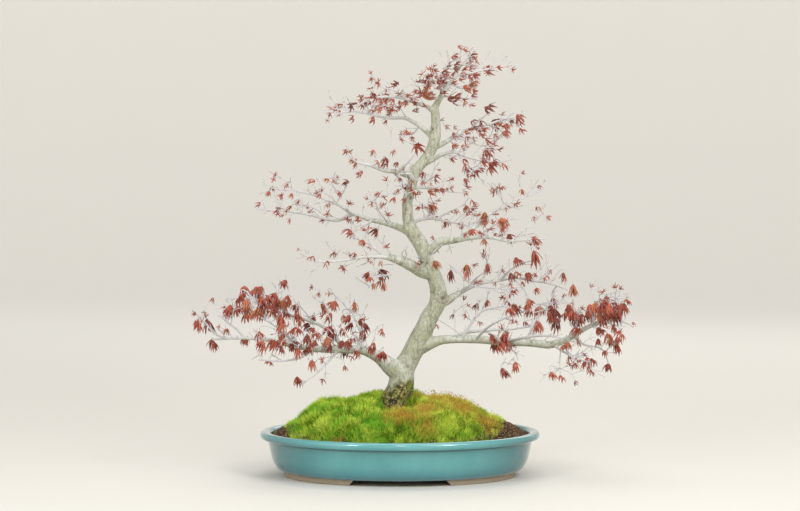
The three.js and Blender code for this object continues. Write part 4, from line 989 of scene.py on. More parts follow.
def moss_finish(s):
    """Moss: painted shade darkens it between the cushions and at the blades' roots; bright at their
    tips.
    """
    paint = Paint("moss")
    tip = paint.value("tip")
    glow = paint.value("glow")
    rust = paint.value("rust")
    fleck = paint.cloud(0.0035, 2)
    # Painted light and shade: glow runs from the shade in the creases to the lit cushion tops.
    green = paint.ramp(
        glow + (fleck - 0.5) * 0.35, (0.0, tuple(s.moss_deep)), (0.5, tuple(s.moss_green)),
        (1.0, tuple(s.moss_bright)),
    )
    left = (POT_X * MM - paint.axis("X")) * 0.5
    across, deep = paint.axis("X") - (POT_X + FRESH_X) * MM, paint.axis("Y") - FRESH_Y * MM
    freshest = 1 - (across * across + deep * deep).above(0.00008, 0.0005)
    fresh = ((paint.cloud(0.03, 2) + left).above(0.5, 0.66) + freshest) * 0.6
    green = paint.mix(fresh, green, linear(122, 194, 46))
    green = paint.mix(rust * 0.85, green, s.moss_rust)
    # Painted shade: the blades darken towards their roots, down in the mat.
    colour = paint.mix((1 - tip) ** 2.5 * 0.95, green, s.moss_deep)
    return paint.finish(Base_Color=colour, Roughness=0.8, Specular_IOR_Level=0.2)


def bark_finish(s, name="bark"):
    """Smooth maple bark, paler on its upper sides with painted light, rough and dark at the foot.
    """
    paint = Paint(name)
    upper = paint.value("upper")
    foot = paint.value("foot")
    wound = paint.value("wound")
    young = paint.value("young")
    drift = paint.cloud(0.03, 4)
    streak = paint.cloud(0.006, 4, stretch=(1, 1, 0.22))
    pore = paint.cloud(0.0016, 3)
    mottle = paint.cloud(0.011, 5, 0.65)
    colour = paint.mix(drift.above(0.38, 0.66) * 0.5, s.bark, linear(186, 190, 172))
    # Painted light: paler where the wood faces up and to the right.
    colour = paint.mix(upper * (0.22 + drift * 0.8), colour, s.bark_lit_and_pale)
    old = 1 - young
    colour = paint.mix(mottle.above(0.5, 0.72) * 0.62 * old, colour, s.bark_dark)
    colour = paint.mix(streak.above(0.54, 0.7) * 0.5 * old, colour, s.bark_dark)
    flecks = 1 - paint.cells(0.0045, stretch=(1, 1, 0.6)).above(0.18, 0.42)
    flecks = flecks * paint.cloud(0.02, 2).above(0.42, 0.58)
    colour = paint.mix(flecks * 0.6 * old, colour, linear(214, 215, 204))
    colour = paint.mix(pore.above(0.52, 0.7) * 0.62 * old, colour, s.bark_dark)
    threads = paint.cloud(0.0026, 3, stretch=(1, 1, 0.16))
    colour = paint.mix(threads.above(0.5, 0.66) * 0.5 * old, colour, linear(116, 117, 98))
    green = paint.cloud(0.018, 3).above(0.58, 0.7) * old * 0.5
    colour = paint.mix(green, colour, linear(146, 158, 110))
    colour = paint.mix(young * 0.8, colour, s.twig)
    colour = paint.mix(paint.value("ripe") * 0.7, colour, s.twig_ripe)
    plates = paint.cells(0.005, stretch=(1, 1, 0.7))
    crust = paint.mix(plates.above(0.22, 0.52), s.foot, linear(62, 54, 28))
    crust = paint.mix(paint.cloud(0.008, 3).above(0.46, 0.66) * 0.6, crust, linear(150, 152, 66))
    spots = (1 - paint.cells(0.0034).above(0.2, 0.38)) * paint.cloud(0.009, 2).above(0.46, 0.58)
    crust = paint.mix(spots * 0.8, crust, s.lichen)
    mossy = (paint.axis("X") - (POT_X + 4) * MM).above(0, 0.012)
    mossy = mossy * paint.cloud(0.004, 2).above(0.3, 0.6) * 0.6
    crust = paint.mix(mossy, crust, linear(108, 118, 42))
    colour = paint.mix(foot, colour, crust)
    colour = paint.mix(wound * 0.9, colour, linear(82, 68, 52))
    height = streak * 0.6 + pore * 0.5 + mottle * 0.8 + foot * (1 - plates) * 2
    return paint.finish(
        Base_Color=colour,
        Roughness=0.62 + foot * 0.25 + pore * 0.1,
        Normal=paint.bump(height, 0.0008, 0.6),
    )


def leaf_finish(s):
    """Thin young leaves, each a little browner or brighter than the next, with painted shade on the
    lobes' edges.
    """
    paint = Paint("leaf")
    hue = paint.value("hue")
    ridge = paint.value("ridge")
    reach = paint.value("reach")
    stalk = paint.value("stalk")
    vein = paint.cloud(0.0012, 2)
    colour = paint.ramp(
        hue, (0.0, tuple(s.leaf_dark_and_shade)), (0.35, tuple(s.leaf)), (0.7, linear(204, 110, 84)),
        (1.0, tuple(s.leaf_warm)),
    )
    # Painted shade: each lobe darker towards its edges than along its ridge.
    colour = paint.mix((1 - ridge) * 0.5 + vein * 0.1, colour, s.leaf_dark_and_shade)
    colour = paint.mix(reach.above(0.75, 1.0) * 0.35, colour, s.leaf_dark_and_shade)
    colour = paint.mix(stalk * 0.7, colour, s.twig_ripe)
    return paint.finish(
        Base_Color=colour, Roughness=0.48 + vein * 0.15, Specular_IOR_Level=0.4,
        Normal=paint.bump(vein + ridge * 0.5, 0.0003, 0.4),
    )


def floor_finish(s):
    """A matt floor, which glows softly where the lights don't reach."""
    paint = Paint("floor")
    where = paint.node("ShaderNodeTexCoord", output="Object")
    away = paint.node("ShaderNodeVectorMath", {"operation": "LENGTH"}, {0: where}, "Value")
    grain = paint.cloud(0.35, 3)
    return paint.finish(
        Base_Color=paint.mix(grain * 0.35, s.floor, linear(226, 222, 214)), Roughness=0.75,
        Emission_Color=paint.mix(away.above(0.6, 3.6), (0, 0, 0), (0.24, 0.235, 0.225)),
        Emission_Strength=1.0,
    )


# ---- Pot ----


def oval_shell(name, wall):
    """An open shell, extruded oval by oval along (inset, height) points in millimetres."""
    inset, height = wall[0]
    deselect_all()
    bpy.ops.mesh.primitive_circle_add(
        vertices=OVAL_STEPS, radius=1, location=(POT_X * MM, 0, height * MM),
    )
    shell = bpy.context.object
    shell.name = name
    shell.scale = ((HALF_LENGTH - inset) * MM, (HALF_DEPTH - inset) * MM, 1)
    apply_place(shell)
    edit(shell)
    for next_inset, next_height in wall[1:]:
        longer = (HALF_LENGTH - next_inset) / (HALF_LENGTH - inset)
        deeper = (HALF_DEPTH - next_inset) / (HALF_DEPTH - inset)
        centre = (POT_X * MM, 0, next_height * MM)
        draw_up((next_height - height) * MM, (longer, deeper), centre)
        inset, height = next_inset, next_height
    close_edit()
    return shell


def fill_rim(shell, height, inset):
    """Fills the open oval that lies at a height, in millimetres."""
    edit(shell, "DESELECT")
    close_edit()
    flat = corners(shell)
    across = (flat[:, 0] - POT_X * MM) / ((HALF_LENGTH - inset) * MM)
    deep = flat[:, 1] / ((HALF_DEPTH - inset) * MM)
    on_rim = (abs(flat[:, 2] - height * MM) < 1e-5) & (abs(across**2 + deep**2 - 1) < 1e-3)
    for corner in np.flatnonzero(on_rim):
        shell.data.vertices[corner].select = True
    bpy.ops.object.mode_set(mode="EDIT")
    bpy.ops.mesh.edge_face_add()
    close_edit()


def cut_off(piece, point, away):
    """Cuts a closed piece at a plane, drops the side that away points to, and closes the cut."""
    edit(piece)
    bpy.ops.mesh.bisect(
        plane_co=[value * MM for value in point], plane_no=away, clear_outer=True, use_fill=True,
    )
    close_edit()


class BONSAI_OT_pot(Operator):
    """Make the oval glazed pot on its four feet"""

    bl_idname = "bonsai.pot"
    bl_label = "Pot"

    def execute(self, context):
        bowl = oval_shell("pot", WALL)
        fill_rim(bowl, WALL[0][1], WALL[0][0])
        fill_rim(bowl, WALL[-1][1], WALL[-1][0])
        edit(bowl)
        bpy.ops.mesh.normals_make_consistent(inside=False)
        close_edit()
        for side in (-1, 1):
            self.drill(bowl, side * DRAIN_X)
        feet = [self.foot(side_x, side_y) for side_x in (-1, 1) for side_y in (-1, 1)]
        pot = join([bowl, *feet])
        pot.name = "glazed_pot"
        activate(pot)
        bpy.ops.object.shade_smooth_by_angle(angle=math.radians(42))
        give(pot, glaze_finish(context.scene.bonsai_pot), "glaze", "pot")
        return {"FINISHED"}

    def drill(self, bowl, x):
        """Cuts a drain hole through the floor."""
        bpy.ops.mesh.primitive_cylinder_add(
            vertices=32, radius=DRAIN_RADIUS * MM, depth=0.03,
            location=((POT_X + x) * MM, 0, 0.013),
        )
        drill = bpy.context.object
        apply_modifier(bowl, "BOOLEAN", operation="DIFFERENCE", object=drill, solver="EXACT")
        bpy.data.objects.remove(drill)

    def foot(self, side_x, side_y):
        """One foot: a quarter of an oval band, its inner end sloped and its edges softened."""
        outside, inside = FOOT_BAND
        foot = oval_shell(
            "foot", [(outside + 1.2, 0), (outside, 2), (outside - 0.6, FOOT_TOP),
                     (inside, FOOT_TOP), (inside, 0), (outside + 1.2, 0)],
        )
        edit(foot)
        bpy.ops.mesh.remove_doubles(threshold=1e-5)
        bpy.ops.mesh.normals_make_consistent(inside=False)
        close_edit()
        slope = math.hypot(FOOT_TOP, FOOT_END_SLOPE)
        cut_off(
            foot, (POT_X + side_x * FOOT_END_X, 0, 0),
            (-side_x * FOOT_TOP / slope, 0, -FOOT_END_SLOPE / slope),
        )
        cut_off(foot, (POT_X, side_y * FOOT_SPLIT_Y, 0), (0, -side_y, 0))
        apply_modifier(
            foot, "BEVEL", width=0.9 * MM, segments=2, limit_method="ANGLE",
            angle_limit=math.radians(40),
        )
        return foot


# ---- Soil and moss ----


def soil_top(x, y):
    """The soil's height: level at the pot's edge and rising to the trunk."""
    across = x / (HALF_LENGTH - SOIL_INSET)
    deep = y / (HALF_DEPTH - SOIL_INSET)
    out = np.minimum(across**2 + deep**2, 1)
    return SOIL_EDGE + SOIL_MOUND * (1 - out**2)


def moss_share(x, y):
    """How far each point lies from the moss's crest, from 0 there to 1 at its edge."""
    across = (x - MOSS_X) / MOSS_HALF_LENGTH
    edge_y = MOSS_HALF_DEPTH * np.sqrt(np.maximum(1 - across**2, 0))
    behind = np.maximum(edge_y - MOSS_CREST_Y, 1)
    to_edge = np.where(y < MOSS_CREST_Y, MOSS_CREST_Y + edge_y, behind)
    return np.minimum(abs(y - MOSS_CREST_Y) / to_edge, 1)


def patch(x, y, mid_x, mid_y, half_length, half_depth):
    """1 in the middle of a soft oval patch, fading to 0 outside it."""
    return np.exp(-(((x - mid_x) / half_length) ** 2) - ((y - mid_y) / half_depth) ** 2)


def cushions(x, y, size, seed=0.0):
    """Round soft cushions side by side: 1 at their middles and 0 in the creases between."""
    wander = size * 0.35
    flat = on_plan(x, y)
    warp_x = rough(flat, size * 1.3, 1, seed + 3.1) * wander
    warp_y = rough(flat, size * 1.3, 1, seed + 9.7) * wander
    found = []
    for px, py in zip((x + warp_x) / size, (y + warp_y) / size):
        found.append(noise.voronoi((px, py, seed))[0][:2])
    found = np.array(found)
    return np.clip((found[:, 1] - found[:, 0]) * 2.2, 0, 1) ** 0.6


def moss_top(x, y):
    """The moss's height, without its blades, and how far each point stands out of a crease."""
    crest_x, crest_z = zip(*MOSS_CREST)
    fall = moss_share(x, y)
    ground = soil_top(x, y)
    rise = (np.interp(x, crest_x, crest_z) - ground) * (1 - fall**2)
    dip = sum(depth * patch(x, y, *oval) for depth, *oval in MOSS_DIPS)
    lumps = 2.4 * np.sin(x / 13 + 1) * np.cos(y / 11) * (1 - fall**2)
    big = cushions(x, y, 30.0)
    small = cushions(x, y, 12.0, 5.0)
    soft = 0.62 * big + 0.38 * small
    fine = rough(on_plan(x, y), 5.0, 2, 2.0) * 0.8
    height = np.maximum(rise - dip + lumps, MOSS_LEAST_DEPTH)
    edge = np.clip((1 - fall) * 6, 0.25, 1)
    swell = soft * CUSHION_HEIGHT - CUSHION_HEIGHT / 2 + fine
    return ground + height - PAD_DROP + swell * edge, soft


def on_moss(u, v):
    """Points of the unit disc, laid on the moss's uneven outline."""
    out = np.hypot(u, v)
    front = np.clip(-v, 0, 1) * (0.04 + 0.34 * abs(u * v))
    reach = 1 + (0.028 * rough(on_plan(u, v), 0.22, 2, 4.0) + front) * out**4
    x, y = MOSS_X + MOSS_HALF_LENGTH * reach * u, MOSS_HALF_DEPTH * reach * v
    most_x, most_y = HALF_LENGTH - MOSS_LEAST_INSET, HALF_DEPTH - MOSS_LEAST_INSET
    past = np.maximum(np.hypot(x / most_x, y / most_y), 1)
    return x / past, y / past


def moss_zones(x, y):
    """How bright and how russet the moss is at each point, from 0 to 1."""
    flat = on_plan(x, y)
    drift = rough(flat, 34.0, 2, 7.0)
    x = x + ZONE_WANDER * rough(flat, 15.0, 2, 21.0)
    y = y + ZONE_WANDER * rough(flat, 15.0, 2, 25.0)
    front = sum(np.exp(-(((x - middle) / half) ** 2)) for middle, half in BRIGHT_STRIPS)
    low = np.clip((-y - 60) / 50, 0, 1)
    glow = 0.55 + 0.42 * drift + 0.3 * front * low
    rust = np.max([patch(x, y, *zone) for zone in RUSSET_ZONES], axis=0)
    patchy = 0.36 * rough(flat, 9.0, 2, 1.0) + 0.3 * rough(flat, 28.0, 1, 11.0)
    rust = np.clip(rust * 1.12 + patchy - 0.27, 0, 1)
    return np.clip(glow, 0, 1), rust


def spikes(shape, roots, ways, lengths, widths, **values):
    """Adds one thin three-sided spike for each root: three corners round it, and a tip."""
    count = len(roots)
    guide = np.where(abs(ways[:, 2:3]) > 0.9, (1.0, 0, 0), (0, 0, 1.0))
    side = np.cross(ways, guide)
    side /= np.linalg.norm(side, axis=1, keepdims=True)
    across = np.cross(ways, side)
    corner_sets = []
    for corner in range(3):
        angle = 2 * math.pi * corner / 3
        out = side * math.cos(angle) + across * math.sin(angle)
        corner_sets.append(roots + out * widths[:, None] / 2)
    corner_sets.append(roots + ways * lengths[:, None])
    points = np.stack(corner_sets, 1).reshape(-1, 3)
    first = 4 * np.arange(count)[:, None]
    faces = np.concatenate([first + face for face in ((0, 1, 3), (1, 2, 3), (2, 0, 3), (0, 2, 1))])
    spread = {name: np.repeat(value, 4) for name, value in values.items()}
    shape.add(points, faces.tolist(), tip=np.tile([0.0, 0, 0, 1], count), **spread)


def unit(ways):
    """The same directions, each one long."""
    return ways / np.linalg.norm(ways, axis=-1, keepdims=True)


class BONSAI_OT_soil(Operator):
    """Finish the soil, and scatter loose grains on it round the moss"""

    bl_idname = "bonsai.soil"
    bl_label = "Soil"

    def execute(self, context):
        s = context.scene.bonsai_ground
        cover(frame["nodes"]["soil"], soil_finish(s))
        screen = screen_finish()
        for side in ("left", "right"):
            cover(frame["nodes"][f"drain_screen_{side}"], screen)
        draw = np.random.default_rng(GRAIN_SEED)
        kinds = [self.grain(kind) for kind in range(GRAIN_KINDS)]
        scattered = Shape("shade")
        tries = 3 * s.grains
        angle = draw.uniform(0, 2 * math.pi, tries)
        out = np.sqrt(draw.uniform(0.6, 1, tries))
        x = (HALF_LENGTH - SOIL_INSET - 1.5) * out * np.cos(angle)
        y = (HALF_DEPTH - SOIL_INSET - 1.5) * out * np.sin(angle)
        under = 8 - 22 * np.clip(-y / MOSS_HALF_DEPTH, 0, 1)
        half_length, half_depth = MOSS_HALF_LENGTH - under, MOSS_HALF_DEPTH - under
        bare = np.hypot((x - MOSS_X) / half_length, y / half_depth) > 1
        spots = np.stack([x, y, soil_top(x, y)], 1)[bare][: s.grains]
        for number, spot in enumerate(spots):
            points, faces = kinds[number % len(kinds)]
            size = draw.uniform(1.1, 2.6) * (1.25 if draw.random() < 0.12 else 1)
            turn = self.turn(draw.uniform(0, 2 * math.pi, 3))
            lift = draw.uniform(-0.4, 0.7) * size
            scattered.add(points @ turn.T * size + spot + (0, 0, lift), faces, shade=draw.random())
        grains = scattered.piece("soil_grains")
        give(grains, grain_finish(s), "soil")
        return {"FINISHED"}

    def grain(self, kind):
        """One grain of about unit size: an ico sphere with its corners pulled in and out."""
        deselect_all()
        bpy.ops.mesh.primitive_ico_sphere_add(subdivisions=1, radius=0.5)
        grain = bpy.context.object
        edit(grain)
        bpy.ops.transform.vertex_random(offset=0.16, seed=kind + 1)
        bpy.ops.transform.resize(value=(1.25, 1, 0.8))
        close_edit()
        return take_apart(grain)

    def turn(self, angles):
        """A turn about each axis in order, as a matrix."""
        matrix = np.eye(3)
        for axis, angle in enumerate(angles):
            cosine, sine = math.cos(angle), math.sin(angle)
            first, second = (axis + 1) % 3, (axis + 2) % 3
            step = np.eye(3)
            step[first, first] = step[second, second] = cosine
            step[first, second], step[second, first] = -sine, sine
            matrix = matrix @ step
        return matrix


class BONSAI_OT_moss(Operator):
    """Make the two pads of tall moss, with their ripe stalks"""

    bl_idname = "bonsai.moss"
    bl_label = "Moss"

    def execute(self, context):
        s = context.scene.bonsai_ground
        finish = moss_finish(s)
        for side, name in ((-1, "left"), (1, "right")):
            blades = self.blades(side, s, np.random.default_rng(MOSS_SEEDS[name]))
            whole = join([self.pad(side), blades])
            whole.name = f"mossy_{name}"
            give(whole, finish, "moss", f"moss_{name}")
        return {"FINISHED"}

    def pad(self, side):
        """The pad under the blades, cut from the whole mat at the seam."""
        deselect_all()
        bpy.ops.mesh.primitive_grid_add(x_subdivisions=128, y_subdivisions=108, size=2)
        pad = bpy.context.object
        u, v = corners(pad)[:, :2].T
        disc_u, disc_v = u * np.sqrt(1 - v**2 / 2), v * np.sqrt(1 - u**2 / 2)
        x, y = on_moss(disc_u, disc_v)
        z, _ = moss_top(x, y)
        set_corners(pad, np.stack([x + POT_X, y, z], 1) * MM)
        edit(pad)
        bpy.ops.mesh.bisect(
            plane_co=((POT_X + MOSS_SEAM_X) * MM, 0, 0), plane_no=(-side, 0, 0), clear_outer=True,
        )
        close_edit()
        apply_modifier(pad, "SOLIDIFY", thickness=PAD_THICKNESS * MM, offset=-1)
        smooth_shading(pad)
        at = corners(pad) / MM
        glow, rust = moss_zones(at[:, 0] - POT_X, at[:, 1])
        set_values(pad, "tip", np.full(len(at), 0.15))
        set_values(pad, "glow", glow)
        set_values(pad, "rust", rust)
        return pad

    def blades(self, side, s, draw):
        """Thousands of blades that lean outwards, and ripe stalks where the moss is russet."""
        shape = Shape("tip", "glow", "rust")
        count = 2 * s.blades
        out, angle = np.sqrt(draw.random(count)), draw.uniform(0, 2 * math.pi, count)
        x, y = on_moss(out * np.cos(angle), out * np.sin(angle))
        kept = side * (x - MOSS_SEAM_X) > 0
        x, y = x[kept][: s.blades], y[kept][: s.blades]
        z, soft = moss_top(x, y)
        step = 1.5
        slope_x = (moss_top(x + step, y)[0] - z) / step
        slope_y = (moss_top(x, y + step)[0] - z) / step
        lean = draw.normal(0, 0.17, (len(x), 3))
        flat = on_plan(x, y)
        lean[:, :2] += 0.55 * np.stack([rough(flat, 8.0, 1, away) for away in (3.0, 6.0)], 1)
        ways = unit(unit(np.stack([-slope_x, -slope_y, np.ones_like(x)], 1)) + lean + (0, 0, 0.35))
        glow, rust = moss_zones(x, y)
        # Painted light and shade: the cushions' tops brighter and their creases darker, plus random
        # tone.
        glow = glow + (soft - 0.58) * 1.3 + draw.normal(0, 0.3, len(x))
        lengths = s.blade / MM * draw.uniform(0.6, 1.25, len(x)) * (0.6 + 0.5 * soft)
        widths = draw.uniform(0.8, 1.4, len(x))
        own_rust = rust * draw.uniform(0.5, 1.35, len(x))
        roots = np.stack([x, y, z - BLADE_ROOT], 1)
        spikes(shape, roots, ways, lengths, widths, glow=glow, rust=own_rust)
        ripe = np.flatnonzero(draw.random(len(x)) < rust * 0.12)[: s.stalks // 2]
        roots = np.stack([x, y, z], 1)[ripe]
        ways = unit(draw.normal(0, 0.2, (len(ripe), 3)) + (0, 0, 1))
        lengths = draw.uniform(8, 16, len(ripe))
        ones = np.ones(len(ripe))
        spikes(shape, roots, ways, lengths, 0.45 * ones, glow=0.6 * ones, rust=0.8 * ones)
        heads = roots + ways * (lengths - 1.2)[:, None]
        nod = unit(ways + draw.normal(0, 0.5, (len(ripe), 3)))
        spikes(shape, heads, nod, 2.4 * ones, 1.1 * ones, glow=0.5 * ones, rust=1.1 * ones)
        return shape.piece("blades")


# ---- Wood ----


def smooth_route(route, step=2.0):
    """The middle line and radii of a smooth curve through a route, about step mm apart."""
    points = np.array(route, float)
    chord = np.r_[0, np.cumsum(np.linalg.norm(np.diff(points[:, :3], axis=0), axis=1))]
    slopes = np.gradient(points, chord, axis=0)
    at = np.linspace(0, chord[-1], max(round(chord[-1] / step), 2) + 1)
    i = np.clip(np.searchsorted(chord, at, side="right") - 1, 0, len(chord) - 2)
    width = (chord[i + 1] - chord[i])[:, None]
    t = (at - chord[i])[:, None] / width
    line = (
        (2 * t**3 - 3 * t**2 + 1) * points[i] + (t**3 - 2 * t**2 + t) * width * slopes[i]
        + (3 * t**2 - 2 * t**3) * points[i + 1] + (t**3 - t**2) * width * slopes[i + 1]
    )
    return line[:, :3], np.maximum(line[:, 3], 0.2)


def tube(line, radii, sides, relief=None):
    """The corners and faces of a closed tube along a smooth line."""
    steps = unit(np.diff(line, axis=0))
    ways = unit(np.vstack([steps[:1], steps[:-1] + steps[1:], steps[-1:]]))
    angles = 2 * math.pi * np.arange(sides) / sides
    side = np.array((0, 1.0, 0)) if abs(ways[0][0]) > 0.8 else np.array((1.0, 0, 0))
    rings = []
    for point, way, radius in zip(line, ways, radii):
        side = unit(side - way * (side @ way))
        across = np.cross(way, side)
        out = np.outer(np.cos(angles), side) + np.outer(np.sin(angles), across)
        reach = radius * (relief(angles, point[2]) if relief else np.ones(sides))
        rings.append(point + out * reach[:, None])
    points = np.vstack([*rings, line[:1], line[-1:]])
    faces = []
    for ring in range(len(line) - 1):
        for s in range(sides):
            low, after = ring * sides + s, ring * sides + (s + 1) % sides
            faces.append([low, after, after + sides, low + sides])
    top, foot, tip = (len(line) - 1) * sides, len(points) - 2, len(points) - 1
    for s in range(sides):
        after = (s + 1) % sides
        faces.append([foot, after, s])
        faces.append([tip, top + s, top + after])
    return points, faces


def fuse(name, tubes, voxel, softness):
    """One skin over tubes that run into each other, with soft hollows between them."""
    shape = Shape()
    for points, faces in tubes:
        shape.add(points, faces)
    wood = shape.piece(name)
    apply_modifier(wood, "REMESH", mode="VOXEL", voxel_size=voxel * MM)
    apply_modifier(wood, "SMOOTH", factor=0.5, iterations=softness)
    smooth_shading(wood)
    return wood


def foot_relief(angles, z):
    """The trunk's foot swells into root buttresses, which fade out upwards."""
    fade = math.exp(-max(z - 95, 0) / 22)
    return 1 + fade * (0.1 * np.cos(5 * angles) + 0.035 * np.cos(11 * angles + 1))


def bark_relief(piece, radii_at, bleach=0.0):
    """Lumps, creases and healed cuts on wood, and the values that its material reads."""
    points, ways = corners(piece) / MM - (POT_X, 0, 0), corners(piece, "normal")
    radius = radii_at(points)
    beside = points[:, 0] - TRUNK[0][0]
    edge = points[:, 2] - 0.4 * np.clip(beside, -30, 30) + 8 * rough(points, 12, 3, 3.0)
    near = np.clip(4 - np.hypot(beside, points[:, 1]) / 15, 0, 1)
    foot = np.clip((CRUST_TOP - edge) / CRUST_EDGE, 0, 1) * near
    thick = np.clip(radius / 12, 0.05, 1)
    plates = 1 - 2 * abs(rough(points, 8.5, 1, 1.0))
    rise = 0.8 * thick * rough(points, 26, 2, 6.0)
    rise += 0.3 * np.sqrt(thick) * rough(points * (1, 1, 2.6), 9, 2, 8.0)
    rise += foot * (1.3 * plates + 1.1 * rough(points, 3.6, 2, 2.0) + 0.6)
    wound = np.zeros(len(points))
    for x, z, half_width, half_height in WOUNDS:
        out = np.hypot((points[:, 0] - x) / half_width, (points[:, 2] - z) / half_height)
        out = np.where(ways[:, 1] < 0.1, out, 9)
        size = min(half_width, half_height) / 9
        rise += size * (1.3 * np.exp(-(((out - 1) / 0.3) ** 2)) - 2.2 * np.exp(-((out / 0.5) ** 2)))
        rise += size * 0.3 * np.cos(10 * out) * np.exp(-(((out - 1.2) / 0.5) ** 2))
        wound = np.maximum(wound, np.exp(-((out / 0.62) ** 2)))
        wound = np.maximum(wound, 0.45 * np.exp(-(((out - 1.35) / 0.16) ** 2)))
    set_corners(piece, corners(piece) + ways * rise[:, None] * MM)
    # Painted light: lit is highest where the wood faces up and to the right.
    lit = 0.75 * ways[:, 2] + 0.42 * ways[:, 0] + 0.25 * rough(points, 30, 2, 5.0)
    set_values(piece, "upper", np.clip(lit * 1.1 + bleach, 0, 1))
    set_values(piece, "foot", foot)
    set_values(piece, "wound", wound)
    set_values(piece, "young", np.clip((4.6 - radius) / 3.6, 0, 1))


def nearest_radius(lines):
    """A function that gives the radius of the wood nearest to each of many points."""
    middles = np.vstack([line for line, _ in lines])
    radii = np.concatenate([radius for _, radius in lines])

    def radii_at(points):
        found = np.empty(len(points))
        for start in range(0, len(points), 4000):
            some = points[start:start + 4000]
            gaps = np.sqrt(((some[:, None, :] - middles[None]) ** 2).sum(2)) - radii
            found[start:start + 4000] = radii[gaps.argmin(1)]
        return found

    return radii_at


def pieces_of(route):
    """The straight pieces of a route, as rows of (from, to, radius)."""
    rows = np.array(route, float)
    radius = np.maximum(rows[:-1, 3], rows[1:, 3])
    return np.hstack([rows[:-1, :3], rows[1:, :3], radius[:, None]])


def gap_to_wood(point, wood):
    """How far a point lies from the surface of straight round pieces of wood."""
    start, along, radius = wood[:, :3], wood[:, 3:6] - wood[:, :3], wood[:, 6]
    share = ((point - start) * along).sum(1) / (along**2).sum(1)
    nearest = start + along * np.clip(share, 0, 1)[:, None]
    return (np.linalg.norm(point - nearest, axis=1) - radius).min()


def split_limb(route):
    """A limb's route, cut where it is clear of the trunk: its root and the rest."""
    trunk = pieces_of(TRUNK)
    for i in range(1, len(route)):
        low, high = np.array(route[i - 1], float), np.array(route[i], float)
        for share in (0.4, 0.5, 0.6):
            end = low + (high - low) * share
            if gap_to_wood(end[:3], trunk) > end[3] + LIMB_STUB:
                step = np.linalg.norm((high - low)[:3])
                start = low + (high - low) * (share + 0.3 / step)
                return [*route[:i], tuple(end)], [tuple(start), *route[i:]]
    raise RuntimeError("a limb never leaves the trunk")


# ---- Where the tufts and twigs go ----


def draws(seed):
    """Random numbers from 0 to 1, in the same order as for the part's solids."""
    state = seed
    while True:
        state = (1664525 * state + 1013904223) % 4294967296
        yield state / 4294967296


class Limb:
    """One limb: its routes, and the tufts and twigs that grow on it."""

    def __init__(self, number, name, data):
        self.number = number
        self.name = name
        self.droop, self.opening, self.spread = data["droop"], data["opening"], data["spread"]
        self.route = data["route"]
        self.stub, outer = split_limb(self.route)
        self.routes = [outer, *data["shoots"]]
        self.root = pieces_of(self.stub)
        self.wood = np.vstack([pieces_of(route) for route in self.routes])
        sizes = [max(tuft[2:]) for tuft in data["tufts"]]
        first = [size >= SMALLEST_TUFT or i % 2 == 0 for i, size in enumerate(sizes)]
        self.main = [tuft for tuft, main in zip(data["tufts"], first) if main]
        self.extra = [tuft for tuft, main in zip(data["tufts"], first) if not main]
        self.twigs = []
        self.places = []
        for route in self.routes:
            self.places += places_on(route, TWIG_SPACING, None)

    def depth_near(self, x, z):
        """The depth of the wood that stands nearest in the front view."""
        spots = []
        for route in self.routes:
            rows = np.array(route, float)[:, :3]
            for low, high in zip(rows[:-1], rows[1:]):
                spots += [low + (high - low) * share for share in (0.25, 0.5, 0.75, 1)]
        spots = np.array(spots)
        return spots[np.hypot(spots[:, 0] - x, spots[:, 2] - z).argmin(), 1]

    def leaf_axis(self, middle, turn):
        """What a tuft's leaf opens round: outwards from the trunk, and down by its droop."""
        out = unit(np.array((middle[0] - CROWN_X, middle[1], 25)))
        lean = math.radians(turn)
        way = np.array((0, 0, -self.droop)) + out * (1 - self.droop)
        return unit(way + 0.22 * np.array((math.cos(lean), math.sin(lean), 0)))


class Tuft:
    """A tuft of leaves: its middle, and the hub that its twig ends at."""

    def __init__(self, limb, middle, length, turn, width, height):
        self.limb = limb
        self.middle = middle
        self.reach = TUFT_REACH * length
        self.width = width
        self.height = height
        self.axis = limb.leaf_axis(middle, turn)
        opening = math.radians(limb.opening)
        self.hub = middle - self.axis * HUB_SHARE * length * math.cos(opening)


def in_sight(x, z, y):
    """A point of the front view, moved along its line of sight to a depth."""
    share = (EYE_DISTANCE + y) / EYE_DISTANCE
    return np.array((x * share, y, EYE_HEIGHT + (z - EYE_HEIGHT) * share))


def gap_to_tufts(point, tufts):
    """How far a point lies from the nearest of some tufts."""
    gaps = [np.linalg.norm(tuft.middle - point) - tuft.reach for tuft in tufts]
    return min(gaps, default=math.inf)


def foreign_wood(limb, limbs):
    """All wood but a limb's own: the trunk, the limbs' roots in it, and the other limbs."""
    others = [other.wood for other in limbs if other is not limb]
    return np.vstack([pieces_of(TRUNK), *[other.root for other in limbs], *others])


def place_tufts(limbs, kind, seed, own_clear, forward, placed):
    """Settles the depth of every tuft, so that those of different limbs keep clear."""
    for limb in limbs:
        numbers = draws(limb.number + seed)
        others = foreign_wood(limb, limbs)
        for x, z, width, height in getattr(limb, kind):
            length = min(max(0.8 * max(width, height), LEAF_LEAST), LEAF_MOST)
            reach = TUFT_REACH * length
            base = limb.depth_near(x, z)
            for draw in range(DEPTH_DRAWS):
                away = (2 * next(numbers) - 1 - forward) * limb.spread * (0.7 + 0.04 * draw)
                middle = in_sight(x, z, min(max(base + away, -DEPTH_LIMIT), DEPTH_LIMIT))
                own = [tuft for tuft in placed if tuft.limb is limb]
                foreign = [tuft for tuft in placed if tuft.limb is not limb]
                if (
                    gap_to_tufts(middle, foreign) > reach + CLEAR
                    and gap_to_tufts(middle, own) > own_clear * reach
                    and gap_to_wood(middle, limb.wood) > own_clear * reach
                    and gap_to_wood(middle, others) > reach + CLEAR
                ):
                    turn = 360 * next(numbers)
                    next(numbers)
                    placed.append(Tuft(limb, middle, length, turn, width, height))
                    break
    return placed


